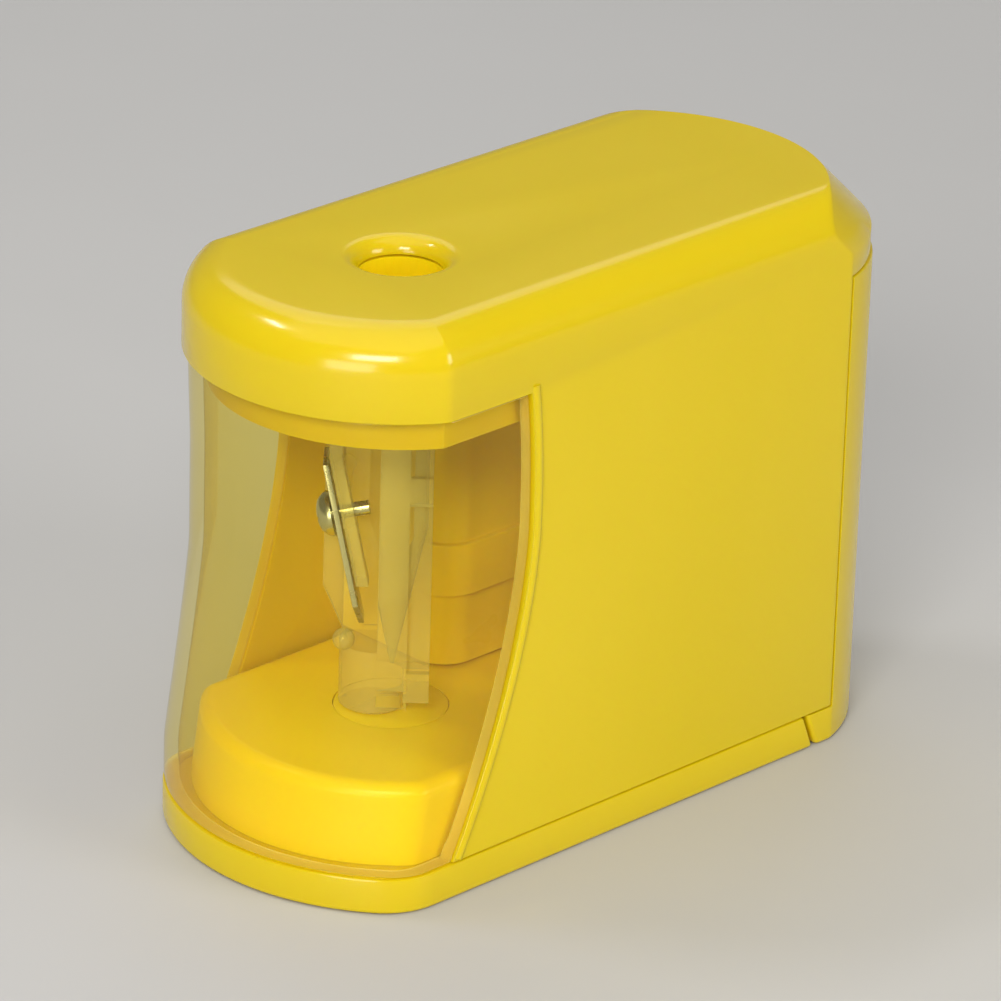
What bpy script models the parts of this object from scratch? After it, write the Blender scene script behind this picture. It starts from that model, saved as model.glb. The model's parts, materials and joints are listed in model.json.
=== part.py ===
"""A battery pencil sharpener with a vertical pencil hole and a clear shavings window.

The window faces -Y, +X is the right-hand side and +Z is up. The origin is at the centre of the
footprint, on the table. Dimensions are in millimetres and are scaled to metres when a mesh is made.
"""

import math

import bmesh
import bpy
from mathutils import Matrix, Vector

MM = 0.001
GAP = 0.3

# ---- overall form -------------------------------------------------------------------------------
HALF_W = 22.5
HEIGHT = 75.2
FOOT_LIFT = 0.4
LIP_TOP = 4.8
HEAD_LOW = 64.05
COVER_TOP = 64.4
REAR_SEAM_Y = 33.9
FOOT_SEAM_Y = 29.4
FOOT_SLANT = 0.41
EDGE_R = 5.6
SHOULDER_Z = 67.5
WALL = 2.0
FLAT_R = 2000.0
SMOOTH_DEG = 35.0

# An end of the plan outline is (apex y, radius of its bow, radius of its corners).
HEAD_FRONT = (-49.96, 25.45, 2.7)
BASE_FRONT = (-50.85, 30.2, 9.0)
HOUSING_REAR = (50.35, 23.47, 2.3)
HOUSING_REAR_TOP = (42.0, 23.5, 3.0)
COVER_REAR = (50.85, 23.47, 2.3)

# ---- chamber, gearbox and drive -----------------------------------------------------------------
AXIS_Y = -23.15
PLATFORM_TOP = 15.3
PLATFORM_WALL = 1.5
PLATFORM_FRONT = (-46.6, 25.0, 3.0)
PLATFORM_HALF_W = 20.0
PLATFORM_REAR_Y = 24.0
MOTOR_WALL_Y = -12.4
MOTOR_WALL_X = -1.8
REAR_WALL_Y = 10.5
CHAMBER_WALL_T = 1.5
SKIRT_LOW = 59.5
WINDOW_T = 1.8
WINDOW_TOP = HEAD_LOW - GAP
WINDOW_LOW = LIP_TOP + GAP

PRESSURE = math.radians(25)
MODULE_FINE = 0.5
MODULE_COARSE = 0.6
MOTOR_TEETH = 10
WHEEL_TEETH = 40
SMALL_TEETH = 12
OUTPUT_TEETH = 40
BACKLASH = 0.12
SPREAD = 0.1
MOTOR_X = -11.2
MOTOR_Y = -0.3

HOLE_R = 5.2
HOLE_RIM = 1.9
GUIDE_LOW = 63.2
STUB_R = 4.3
CARRIER_TURN = math.radians(45)

BATTERY_X = 7.6
BATTERY_Y = 38.0
BATTERY_R = 7.1

# ---- screws and feet ------------------------------------------------------------------------------
FRONT_SCREWS = [(-14.5, -36.5), (14.5, -36.5)]
REAR_SCREWS = [(-18.2, 20.0), (18.2, 20.0)]
SCREW_HEAD_R = 2.8
SCREW_SHANK_R = 1.25
SCREW_WAY_R = 1.6
SCREW_LOW = 0.7
SCREW_SEAT = 2.3
SCREW_TOP = 11.5
FEET = [(x, y) for y in (-29.0, 12.0) for x in (-13.0, 13.0)]

for old in list(bpy.data.objects):
    bpy.data.objects.remove(old, do_unlink=True)


# ---- helpers ------------------------------------------------------------------------------------
def material(name, color, roughness, metallic=0.0, transmission=0.0):
    made = bpy.data.materials.new(name)
    made.use_nodes = True
    shader = made.node_tree.nodes["Principled BSDF"]
    shader.inputs["Base Color"].default_value = (*color, 1.0)
    shader.inputs["Roughness"].default_value = roughness
    shader.inputs["Metallic"].default_value = metallic
    shader.inputs["Transmission Weight"].default_value = transmission
    return made


def finish(name, bm, mat=None):
    """Turns a bmesh in millimetres into an object in metres. One with no material is a hidden helper."""
    bmesh.ops.remove_doubles(bm, verts=bm.verts, dist=1e-5)
    bmesh.ops.recalc_face_normals(bm, faces=bm.faces)
    bm.transform(Matrix.Scale(MM, 4))
    if bm.calc_volume(signed=True) < 0:
        bmesh.ops.reverse_faces(bm, faces=bm.faces)
    mesh = bpy.data.meshes.new(name)
    limit = math.radians(SMOOTH_DEG)
    for face in bm.faces:
        face.smooth = True
    for edge in bm.edges:
        edge.smooth = len(edge.link_faces) == 2 and edge.calc_face_angle(0.0) < limit
    bm.to_mesh(mesh)
    bm.free()
    obj = bpy.data.objects.new(name, mesh)
    bpy.context.scene.collection.objects.link(obj)
    if mat:
        mesh.materials.append(mat)
    else:
        obj.hide_render = True
        obj.display_type = "WIRE"
    return obj


def stack(bm, rings, caps=True):
    """Skins a list of equal rings of 3-D points, and caps both ends."""
    rows = [[bm.verts.new(p) for p in ring] for ring in rings]
    count = len(rows[0])
    for low, high in zip(rows, rows[1:]):
        for i in range(count):
            j = (i + 1) % count
            bm.faces.new((low[i], low[j], high[j], high[i]))
    if caps:
        bm.faces.new(rows[0][::-1])
        bm.faces.new(rows[-1])
    return rows


def at_height(points, z):
    return [(x, y, z) for x, y in points]


def end_points(half_w, end, inset, side, steps=14, corner_steps=4):
    """Points of one bowed end from x = -half_w to x = +half_w. side is -1 at the front, +1 at the rear."""
    apex, bow, corner = end
    centre_y = apex - side * bow
    half = half_w - inset
    bow = bow - inset
    corner = max(corner - inset, 0.5)
    reach = (half - corner) / (bow - corner)
    turn = math.asin(min(reach, 0.9999))
    drop = math.cos(turn) * (bow - corner)
    quarter = math.pi / 2
    points = []
    for k in range(corner_steps):
        a = quarter + (turn - quarter) * k / corner_steps
        points.append((-(half - corner) - corner * math.sin(a), drop + corner * math.cos(a)))
    for k in range(steps + 1):
        a = -turn + 2 * turn * k / steps
        points.append((bow * math.sin(a), bow * math.cos(a)))
    for k in range(1, corner_steps + 1):
        a = turn + (quarter - turn) * k / corner_steps
        points.append((half - corner + corner * math.sin(a), drop + corner * math.cos(a)))
    return [(x, centre_y + side * v) for x, v in points]


def plan(half_w, front, rear, inset=0.0, front_inset=None):
    """The closed plan outline, counter-clockwise seen from above."""
    ahead = inset if front_inset is None else front_inset
    ahead_pts = end_points(half_w, front, inset, -1)
    if ahead != inset:
        ahead_pts = [(x, y + ahead - inset) for x, y in ahead_pts]
    return ahead_pts + end_points(half_w, rear, inset, 1)[::-1]


def flat_end(y, corner=0.6):
    return (y, FLAT_R, corner)


def mix(a, b, t):
    if isinstance(a, tuple):
        return tuple(mix(p, q, t) for p, q in zip(a, b))
    return a + (b - a) * t


def modify(obj, other, operation):
    made = obj.modifiers.new(operation.title() + str(len(obj.modifiers)), "BOOLEAN")
    made.operation = operation
    made.solver = "EXACT"
    made.object = other
    made.show_viewport = True
    made.show_render = True


def cut(obj, other):
    modify(obj, other, "DIFFERENCE")


def join(obj, other):
    modify(obj, other, "UNION")


def box_between(bm, low, high):
    """A block from its lowest corner to its highest."""
    corners = [(low[0], low[1]), (high[0], low[1]), (high[0], high[1]), (low[0], high[1])]
    stack(bm, [at_height(corners, low[2]), at_height(corners, high[2])])


def box(name, low, high, mat=None, turn=0.0, about=(0.0, 0.0)):
    bm = bmesh.new()
    box_between(bm, low, high)
    spin(bm, turn, about)
    return finish(name, bm, mat)


def spin(bm, turn, about=(0.0, 0.0)):
    """Turns everything about the upright line through about."""
    pivot = Vector((about[0], about[1], 0.0))
    bmesh.ops.rotate(bm, verts=bm.verts, cent=pivot, matrix=Matrix.Rotation(turn, 3, "Z"))


def circle(radius, centre, count):
    turns = [2 * math.pi * k / count for k in range(count)]
    return [(centre[0] + radius * math.cos(a), centre[1] + radius * math.sin(a)) for a in turns]


def turned(name, centre, profile, mat=None, count=32):
    """A solid of revolution about a vertical axis. profile is (radius, z) going up, closed on the axis."""
    bm = bmesh.new()
    stack(bm, [at_height(circle(r, centre, count), z) for r, z in profile])
    return finish(name, bm, mat)


def ring_solid(name, centre, profile, mat=None, count=32):
    """A solid of revolution with a bore. profile is a closed loop of (radius, z)."""
    bm = bmesh.new()
    rings = [at_height(circle(r, centre, count), z) for r, z in profile]
    loops = [[bm.verts.new(ring[k]) for ring in rings] for k in range(count)]
    for i, here in enumerate(loops):
        there = loops[(i + 1) % count]
        for j in range(len(profile)):
            k = (j + 1) % len(profile)
            bm.faces.new((here[j], there[j], there[k], here[k]))
    return finish(name, bm, mat)


def tube(name, centre, inner, outer, low, high, mat=None, count=32):
    profile = [(inner, low), (outer, low), (outer, high), (inner, high)]
    return ring_solid(name, centre, profile, mat, count)


def post(name, centre, radius, low, high, mat=None, count=32):
    return turned(name, centre, [(radius, low), (radius, high)], mat, count)


def swept(name, path, radius, mat, sides):
    """A round bar along a path of points, with flat ends."""
    bm = bmesh.new()
    rings = []
    points = [Vector(p) for p in path]
    normal = None
    for i, point in enumerate(points):
        ahead = points[min(i + 1, len(points) - 1)] - points[max(i - 1, 0)]
        ahead.normalize()
        if normal is None:
            seed = Vector((0, 0, 1)) if abs(ahead.z) < 0.9 else Vector((1, 0, 0))
            normal = ahead.cross(seed).normalized()
        normal = (normal - ahead * normal.dot(ahead)).normalized()
        across = ahead.cross(normal)
        ring = []
        for k in range(sides):
            a = 2 * math.pi * k / sides
            ring.append(point + (normal * math.cos(a) + across * math.sin(a)) * radius)
        rings.append(ring)
    stack(bm, rings)
    return finish(name, bm, mat)


def coil(centre, low, high, turns, start_r, end_r, per_turn=12):
    """Points of a coil spring that goes up the axis, with its ends lying flat."""
    count = int(turns * per_turn)
    path = []
    for k in range(count + 1):
        t = k / count
        a = 2 * math.pi * turns * t
        lie = min(max((t * turns - 0.75) / (turns - 1.5), 0.0), 1.0)
        r = start_r + (end_r - start_r) * t
        path.append((centre[0] + r * math.cos(a), centre[1] + r * math.sin(a), low + (high - low) * lie))
    return path


def slab_yz(name, outline, half_x):
    """A hidden prism along X, used as a cutter. outline is (y, z) points."""
    bm = bmesh.new()
    stack(bm, [[(side * half_x, y, z) for y, z in outline] for side in (-1, 1)])
    return finish(name, bm)


def involute(base_r, r):
    """The angle that an involute has swept when it reaches radius r."""
    ratio = max(r / base_r, 1.0)
    reach = math.sqrt(ratio * ratio - 1.0)
    return reach - math.atan(reach)


def gear_points(teeth, module, centre, tooth_at):
    """The outline of a spur gear that has the middle of a tooth in the direction tooth_at."""
    pitch_r = teeth * module / 2
    base_r = pitch_r * math.cos(PRESSURE)
    tip_r = pitch_r + module * 0.9
    root_r = pitch_r - module * 1.25
    half_tooth = math.pi / (2 * teeth) - BACKLASH / (2 * pitch_r)
    at_base = half_tooth + involute(base_r, pitch_r)
    start_r = max(base_r, root_r + 0.02)
    flank = [(r, at_base - involute(base_r, r)) for r in (start_r, tip_r)]
    flank.insert(0, (root_r, flank[0][1]))
    points = []
    for k in range(teeth):
        middle = tooth_at + 2 * math.pi * k / teeth
        points += [(r, middle - a) for r, a in flank]
        points += [(r, middle + a) for r, a in reversed(flank)]
    return [(centre[0] + r * math.cos(a), centre[1] + r * math.sin(a)) for r, a in points]


def gear(name, teeth, module, centre, tooth_at, low, high, mat=None):
    bm = bmesh.new()
    outline = gear_points(teeth, module, centre, tooth_at)
    stack(bm, [at_height(outline, low), at_height(outline, high)])
    return finish(name, bm, mat)


# ---- materials ----------------------------------------------------------------------------------
YELLOW = material("yellow_shell", (0.70, 0.52, 0.02), 0.22)
AMBER = material("yellow_inner", (0.68, 0.40, 0.02), 0.35)
CLEAR = material("window_clear", (0.95, 0.90, 0.62), 0.05, transmission=0.9)
FROSTED = material("carrier_clear", (0.85, 0.82, 0.60), 0.30, transmission=0.8)
STEEL = material("steel", (0.62, 0.62, 0.60), 0.28, 1.0)
ZINC = material("zinc_steel", (0.50, 0.50, 0.48), 0.40, 1.0)
NICKEL = material("nickel_spring", (0.66, 0.62, 0.55), 0.30, 1.0)
BRASS = material("brass", (0.72, 0.50, 0.20), 0.32, 1.0)
ACETAL = material("gear_acetal", (0.85, 0.85, 0.80), 0.45)
BLACK = material("black_plastic", (0.02, 0.02, 0.02), 0.45)
FERRITE = material("ferrite", (0.06, 0.06, 0.065), 0.75)
RUBBER = material("rubber_foot", (0.05, 0.05, 0.05), 0.85)
JACKET = material("cell_jacket", (0.10, 0.22, 0.38), 0.40)
RED_WIRE = material("wire_red", (0.55, 0.03, 0.02), 0.50)
BLACK_WIRE = material("wire_black", (0.03, 0.03, 0.03), 0.50)

AXIS = (0.0, AXIS_Y)
MOTOR_AXIS = (MOTOR_X, MOTOR_Y)


def bearing(a, b):
    return math.atan2(b[1] - a[1], b[0] - a[0])


def meeting_point(a, ra, b, rb, side):
    """Where a circle about a and a circle about b cross, on the given side of the line between them."""
    d = math.hypot(b[0] - a[0], b[1] - a[1])
    along = (ra * ra - rb * rb + d * d) / (2 * d)
    off = math.sqrt(ra * ra - along * along) * side
    u = ((b[0] - a[0]) / d, (b[1] - a[1]) / d)
    return (a[0] + along * u[0] + off * u[1], a[1] + along * u[1] - off * u[0])


REACH_OUTPUT = (SMALL_TEETH + OUTPUT_TEETH) * MODULE_COARSE / 2 + SPREAD
REACH_MOTOR = (MOTOR_TEETH + WHEEL_TEETH) * MODULE_FINE / 2 + SPREAD
COMPOUND_AXIS = meeting_point(AXIS, REACH_OUTPUT, MOTOR_AXIS, REACH_MOTOR, 1)


# ---- outer housing ------------------------------------------------------------------------------
def edge_inset(z, radius, centre_z):
    """How far a rounded top edge has drawn in at height z."""
    rise = min(max(z - centre_z, 0.0), radius)
    return radius - math.sqrt(max(radius * radius - rise * rise, 0.0))


def housing_ring(z, wall=0.0):
    """The housing's plan outline at height z; wall moves it inwards for the cavity."""
    centre_z = HEIGHT - EDGE_R
    radius = EDGE_R - wall
    drawn = edge_inset(z, radius, centre_z) + wall
    slope = min(max((z + wall - SHOULDER_Z) / (HEIGHT - SHOULDER_Z), 0.0), 1.0)
    apex, bow, corner = mix(HOUSING_REAR, HOUSING_REAR_TOP, slope)
    # The rear end slopes by its own shoulder, so only the wall draws it in.
    rear = (apex + drawn - wall, bow + drawn - wall, corner + drawn - wall)
    return at_height(plan(HALF_W, HEAD_FRONT, rear, drawn), z)


def housing_levels(wall):
    centre_z = HEIGHT - EDGE_R
    radius = EDGE_R - wall
    curve = [centre_z + radius * math.sin(math.radians(a)) for a in (14, 30, 46, 61, 75, 90)]
    start = SHOULDER_Z - wall
    levels = [WINDOW_LOW, min(start, centre_z)] + [centre_z] * (start > centre_z) + curve
    if start > centre_z:
        levels.append(start)
    return sorted(set(round(z, 4) for z in levels))


def opening_edge(z):
    """y of the side wall's front edge: upright by the head, sweeping forwards to the lip."""
    if z > 50.0:
        return -21.7 - 0.9 * ((z - 50.0) / 14.0) ** 2
    drop = min(max((46.8 - z) / 42.8, 0.0), 1.1)
    return -21.7 - 12.7 * drop ** 1.7


def front_of_edge(shift, low, high):
    """The (y, z) outline of everything ahead of the side wall's front edge."""
    steps = 18
    curve = [(opening_edge(low + (high - low) * k / steps) + shift, low + (high - low) * k / steps)
             for k in range(steps + 1)]
    return [(-70.0, low)] + curve + [(-70.0, high)]


bm = bmesh.new()
outer = [housing_ring(z) for z in housing_levels(0.0)]
inner = [housing_ring(z, WALL) for z in housing_levels(WALL)]
rows = stack(bm, outer, caps=False)
inner_rows = stack(bm, inner, caps=False)
bm.faces.new(rows[-1])
bm.faces.new(inner_rows[-1])
for i in range(len(rows[0])):
    j = (i + 1) % len(rows[0])
    bm.faces.new((rows[0][i], inner_rows[0][i], inner_rows[0][j], rows[0][j]))
upper_housing = finish("upper_housing", bm, YELLOW)

cut(upper_housing, slab_yz("cut_window_opening", front_of_edge(0.0, 2.0, HEAD_LOW), 40.0))
cut(upper_housing, box("cut_rear_opening", (-40, REAR_SEAM_Y, 0), (40, 80, COVER_TOP)))


def skirt(name, low, high, near, near_front):
    """A band that follows the head's outline between two insets, open at the back."""
    outside = plan(HALF_W, HEAD_FRONT, flat_end(-18.5), near, near_front)
    inside = plan(HALF_W, HEAD_FRONT, flat_end(-10.0), SKIRT_FAR, SKIRT_FAR + SKIRT_FRONT_EXTRA)
    body = finish(name, stacked(outside, low, high))
    hollow = finish(name + "_hollow", stacked(inside, low - 1.0, high + 1.0))
    cut(body, hollow)
    return body


def stacked(outline, low, high):
    bm = bmesh.new()
    stack(bm, [at_height(outline, low), at_height(outline, high)])
    return bm


SKIRT_NEAR = 2.45
SKIRT_FAR = 3.9
SKIRT_FRONT_EXTRA = 0.9
SKIRT_TOP = HEAD_LOW + 3.0
join(upper_housing, skirt("join_skirt", SKIRT_LOW, SKIRT_TOP, SKIRT_NEAR, SKIRT_NEAR + SKIRT_FRONT_EXTRA))
join(upper_housing, skirt("join_skirt_ledge", HEAD_LOW, SKIRT_TOP, 1.2, 1.2))
for k, spot in enumerate(REAR_SCREWS):
    join(upper_housing, post(f"join_case_boss_{k}", spot, 3.2, WINDOW_LOW, 40.0))

rim = [(HOLE_R, 60.0), (HOLE_R, HEIGHT - HOLE_RIM)]
for a in (18, 36, 54, 72, 90):
    lift = math.radians(a)
    rim.append((HOLE_R + HOLE_RIM * (1 - math.cos(lift)), HEIGHT - HOLE_RIM + HOLE_RIM * math.sin(lift)))
rim.append((HOLE_R + HOLE_RIM, HEIGHT + 2.0))
cut(upper_housing, turned("cut_pencil_hole", AXIS, rim, count=40))
for k, spot in enumerate(REAR_SCREWS):
    cut(upper_housing, post(f"cut_case_bore_{k}", spot, SCREW_WAY_R, 0.0, 16.0, count=20))

tube("pencil_guide", AXIS, HOLE_R, HOLE_R + 1.8, GUIDE_LOW, HEIGHT - WALL - GAP, YELLOW)

# ---- base plate ---------------------------------------------------------------------------------
BASE_REAR = flat_end(FOOT_SEAM_Y - GAP)
BASE_ROUND = 0.9


def seam_y(z):
    """y of the slanted joint between the base plate and the rear cover's foot at height z."""
    return FOOT_SEAM_Y + FOOT_SLANT * max(LIP_TOP - z, 0.0)


def foot_rings(ends_at, top):
    """Outlines from the rounded lower edge up to top. ends_at gives the front and rear ends at a height."""
    round_top = FOOT_LIFT + BASE_ROUND
    levels = [(FOOT_LIFT, BASE_ROUND), (FOOT_LIFT + 0.3, 0.26), (round_top, 0.0), (LIP_TOP, 0.0)]
    if top > LIP_TOP:
        levels.append((top, 0.0))
    return [at_height(plan(HALF_W, *ends_at(z), inset), z) for z, inset in levels]


bm = bmesh.new()
stack(bm, foot_rings(lambda z: (BASE_FRONT, flat_end(seam_y(z) - GAP)), LIP_TOP))
base_plate = finish("base_plate", bm, YELLOW)
FLOOR = 2.2
pocket = stacked(plan(HALF_W, BASE_FRONT, BASE_REAR, 5.6), FLOOR, LIP_TOP + 5.0)
cut(base_plate, finish("cut_base_pocket", pocket))
join(base_plate, tube("join_gear_seat", AXIS, 4.8, 6.4, FLOOR - 0.6, 6.9))
join(base_plate, post("join_pin_boss", COMPOUND_AXIS, 2.6, FLOOR - 0.6, 6.4, count=24))
cut(base_plate, post("cut_pin_hole", COMPOUND_AXIS, 1.05, FLOOR + 0.5, 9.0, count=16))

for k, spot in enumerate(FRONT_SCREWS + REAR_SCREWS):
    cut(base_plate, post(f"cut_screw_sink_{k}", spot, SCREW_HEAD_R + GAP, -1.0, SCREW_SEAT + GAP))
    cut(base_plate, post(f"cut_screw_way_{k}", spot, SCREW_WAY_R, -1.0, 8.0, count=20))
    profile = [(SCREW_HEAD_R - 0.6, SCREW_LOW), (SCREW_HEAD_R, SCREW_LOW + 0.4), (SCREW_HEAD_R, SCREW_SEAT),
               (SCREW_SHANK_R, SCREW_SEAT), (SCREW_SHANK_R, SCREW_TOP - 1.2), (0.5, SCREW_TOP)]
    screw = turned(f"case_screw_{k + 1}", spot, profile, ZINC, count=14)
    for turn in (0.0, math.pi / 2):
        low = (spot[0] - 1.5, spot[1] - 0.3, 0.0)
        high = (spot[0] + 1.5, spot[1] + 0.3, SCREW_LOW + 0.8)
        cut(screw, box(f"cut_cross_{k}_{turn:.0f}", low, high, turn=turn, about=spot))
for k, spot in enumerate(FEET):
    cut(base_plate, post(f"cut_foot_pocket_{k}", spot, 4.1, -1.0, 1.5, count=28))
    turned(f"rubber_foot_{k + 1}", spot, [(3.5, 0.0), (3.8, 0.25), (3.8, 1.2)], RUBBER, count=20)

# ---- gearbox cover: the raised floor of the shavings chamber --------------------------------------
PLATFORM_REAR = flat_end(PLATFORM_REAR_Y)
PLATFORM_ROUND = 1.6
FLARE = 1.1
bm = bmesh.new()
flared = (PLATFORM_FRONT[0] - FLARE, PLATFORM_FRONT[1] + 0.4, PLATFORM_FRONT[2])
platform_rings = [at_height(plan(PLATFORM_HALF_W, flared, PLATFORM_REAR), WINDOW_LOW)]
for a in (0, 30, 60, 90):
    lift = math.radians(a)
    drawn = PLATFORM_ROUND * (1 - math.cos(lift))
    rear = (PLATFORM_REAR[0], FLAT_R, PLATFORM_REAR[2] + drawn)
    z = PLATFORM_TOP - PLATFORM_ROUND + PLATFORM_ROUND * math.sin(lift)
    platform_rings.append(at_height(plan(PLATFORM_HALF_W, PLATFORM_FRONT, rear, drawn), z))
stack(bm, platform_rings)
gearbox_cover = finish("gearbox_cover", bm, YELLOW)
hollow_plan = plan(PLATFORM_HALF_W, PLATFORM_FRONT, PLATFORM_REAR, PLATFORM_WALL)
under = stacked(hollow_plan, 0.0, PLATFORM_TOP - PLATFORM_WALL)
cut(gearbox_cover, finish("cut_gearbox_hollow", under))
for k, spot in enumerate(FRONT_SCREWS):
    boss_top = PLATFORM_TOP - 1.0
    join(gearbox_cover, post(f"join_front_boss_{k}", spot, 3.0, WINDOW_LOW, boss_top, count=24))
    cut(gearbox_cover, post(f"cut_front_bore_{k}", spot, SCREW_WAY_R, 0.0, SCREW_TOP + 0.7, count=20))
FOOT_R = 7.0
MOTOR_BOSS_R = 3.0
cut(gearbox_cover, post("cut_carrier_foot_way", AXIS, FOOT_R + GAP, 8.0, 30.0, count=36))
cut(gearbox_cover, post("cut_motor_boss_way", MOTOR_AXIS, MOTOR_BOSS_R + 0.5, 8.0, 30.0))
for k, spot in enumerate(REAR_SCREWS):
    cut(gearbox_cover, post(f"cut_boss_way_{k}", spot, 3.7, 0.0, 30.0, count=28))

tube("output_bush", AXIS, 3.2, 4.5, 5.75, 6.85, BRASS, count=24)

# ---- chamber wall: in front of the motor, round its corner and back to the rear of the chamber ----
CHAMBER_WALL_LOW = PLATFORM_TOP + GAP
CHAMBER_WALL_TOP = 69.0
BAND_LOW = 25.4
BAND_HIGH = 32.4
BAND_PROUD = 0.9
WALL_SIDE = 20.2


def wall_line(out, start_x, end, corner_r=4.5, steps=6):
    """The wall's line in plan, moved out towards the chamber, from start_x round the corner to end."""
    x = MOTOR_WALL_X + out
    y = MOTOR_WALL_Y - out
    r = corner_r + out
    points = [(start_x, y)]
    for k in range(steps + 1):
        a = -math.pi / 2 + math.pi / 2 * k / steps
        points.append((x - r + r * math.cos(a), y + r + r * math.sin(a)))
    if end == "side":
        points += [(x, REAR_WALL_Y - out), (WALL_SIDE, REAR_WALL_Y - out)]
    else:
        points.append((x, end))
    return points


near = wall_line(0.0, -WALL_SIDE, "side")
far = wall_line(-CHAMBER_WALL_T, -WALL_SIDE, "side")
chamber_wall = finish("chamber_wall", stacked(near + far[::-1], CHAMBER_WALL_LOW, CHAMBER_WALL_TOP), YELLOW)
near = wall_line(BAND_PROUD, -6.5, REAR_WALL_Y - 2.5)
far = wall_line(-CHAMBER_WALL_T / 2, -6.5, REAR_WALL_Y - 2.5)
join(chamber_wall, finish("join_wall_band", stacked(near + far[::-1], BAND_LOW, BAND_HIGH)))

# ---- shavings window ----------------------------------------------------------------------------
WAIST_Z = 38.0
FLARE_Z = 28.0


def window_plan(z, inset=0.0):
    """The window's plan outline: a waist below the head, flaring out to the lip."""
    down = min(max((WAIST_Z - z) / FLARE_Z, 0.0), 1.0) ** 1.15
    recess = 0.75 + 0.4 * min(max((WINDOW_TOP - z) / 12.0, 0.0), 1.0)
    upper = (HEAD_FRONT[0] + recess, HEAD_FRONT[1] - recess, HEAD_FRONT[2])
    lower = (BASE_FRONT[0] + 0.15, BASE_FRONT[1] - 0.15, 6.5)
    front = mix(upper, lower, down)
    half = mix(HALF_W - 0.35, HALF_W - 0.15, down)
    return plan(half, front, flat_end(-10.0), inset)


window_levels = [WINDOW_LOW, 7.5, 10.0, 13.5, 17.5, 22.0, 27.0, 32.0, 38.0, 45.0, 51.7, 58.0, WINDOW_TOP]
bm = bmesh.new()
stack(bm, [at_height(window_plan(z), z) for z in window_levels])
shavings_window = finish("shavings_window", bm, CLEAR)
bm = bmesh.new()
hollow_levels = [WINDOW_LOW - 2.0] + window_levels[1:-1] + [WINDOW_TOP + 2.0]
for_level = [min(max(z, WINDOW_LOW), WINDOW_TOP) for z in hollow_levels]
stack(bm, [at_height(window_plan(shape_z, WINDOW_T), z) for shape_z, z in zip(for_level, hollow_levels)])
cut(shavings_window, finish("cut_window_hollow", bm))
behind = [(70.0, 0.0)] + [(y, z) for y, z in front_of_edge(-GAP, 0.0, 70.0)[1:-1]] + [(70.0, 70.0)]
cut(shavings_window, slab_yz("cut_window_back", behind, 40.0))

# ---- rear battery cover -------------------------------------------------------------------------
COVER_T = 1.8
bm = bmesh.new()
stack(bm, foot_rings(lambda z: (flat_end(seam_y(z)), COVER_REAR), COVER_TOP - GAP))
rear_cover = finish("rear_cover", bm, YELLOW)
cut(rear_cover, box("cut_cover_front", (-40, 0, LIP_TOP), (40, REAR_SEAM_Y + GAP, 80)))
cover_hollow = stacked(plan(HALF_W, flat_end(10.0), COVER_REAR, COVER_T), FLOOR, COVER_TOP - GAP - 1.6)
cut(rear_cover, finish("cut_cover_hollow", cover_hollow))

# ---- battery cradle and cells -------------------------------------------------------------------
CRADLE_Y = 27.2
CRADLE_T = 1.6
CRADLE_LOW = LIP_TOP + GAP
CRADLE_TOP = 62.0
SHELF_X = 15.4
SHELF_Y = 42.2
CHEEK_X = 16.2
CHEEK_Y = 36.5
CHEEK_T = 1.4
CRADLE_IN = CRADLE_Y + 1.0
cradle = box("battery_cradle", (-20.0, CRADLE_Y, CRADLE_LOW), (20.0, CRADLE_Y + CRADLE_T, CRADLE_TOP), AMBER)
rib_high = (0.6, 31.2, 55.0)
join(cradle, box("join_cradle_rib", (-0.6, CRADLE_IN, 14.0), rib_high))
for z in (CRADLE_LOW, CRADLE_TOP - CRADLE_T):
    level = f"{z:.0f}"
    shelf_high = (SHELF_X, SHELF_Y, z + CRADLE_T)
    join(cradle, box("join_cradle_shelf_" + level, (-SHELF_X, CRADLE_IN, z), shelf_high))
    for side in (-1, 1):
        near_x, far_x = sorted((side * (SHELF_X - CHEEK_T), side * (CHEEK_X + 1.0)))
        ear_high = (far_x, CHEEK_Y, z + CRADLE_T)
        join(cradle, box(f"join_cradle_ear_{side}_" + level, (near_x, CRADLE_IN, z), ear_high))
for side in (-1, 1):
    near_x, far_x = sorted((side * CHEEK_X, side * (CHEEK_X + CHEEK_T)))
    cheek_high = (far_x, CHEEK_Y, CRADLE_TOP)
    join(cradle, box(f"join_cradle_cheek_{side}", (near_x, CRADLE_IN, CRADLE_LOW), cheek_high))

CELL_LOW = 9.1
CELL_LENGTH = 49.3
CELL_NUB = 1.1


def cell(name, centre, low, nub_up):
    """A cylindrical cell with a rolled shoulder at each end and a nub at its positive end."""
    profile = [(BATTERY_R - 0.8, 0.0), (BATTERY_R, 0.6), (BATTERY_R, CELL_LENGTH - 0.7),
               (BATTERY_R - 0.9, CELL_LENGTH), (2.6, CELL_LENGTH), (2.5, CELL_LENGTH + CELL_NUB)]
    if nub_up:
        profile = [(r, low + z) for r, z in profile]
    else:
        top = low + CELL_LENGTH + CELL_NUB
        profile = [(r, top - z) for r, z in reversed(profile)]
    return turned(name, centre, profile, JACKET, count=28)


LEFT_CELL = (-BATTERY_X, BATTERY_Y)
RIGHT_CELL = (BATTERY_X, BATTERY_Y)
PLATE_LOW = CRADLE_LOW + CRADLE_T + GAP
PLATE_HIGH = CRADLE_TOP - CRADLE_T - GAP
PLATE_T = 0.4
PLATE_Y = (33.5, 41.5)
PLATE_END = 11.5
COIL_WIRE_R = 0.35
RIGHT_LOW = PLATE_LOW + PLATE_T + GAP
RIGHT_TOP = RIGHT_LOW + CELL_LENGTH + CELL_NUB
cell("battery_cell_left", LEFT_CELL, CELL_LOW, True)
cell("battery_cell_right", RIGHT_CELL, RIGHT_LOW, False)


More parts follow.
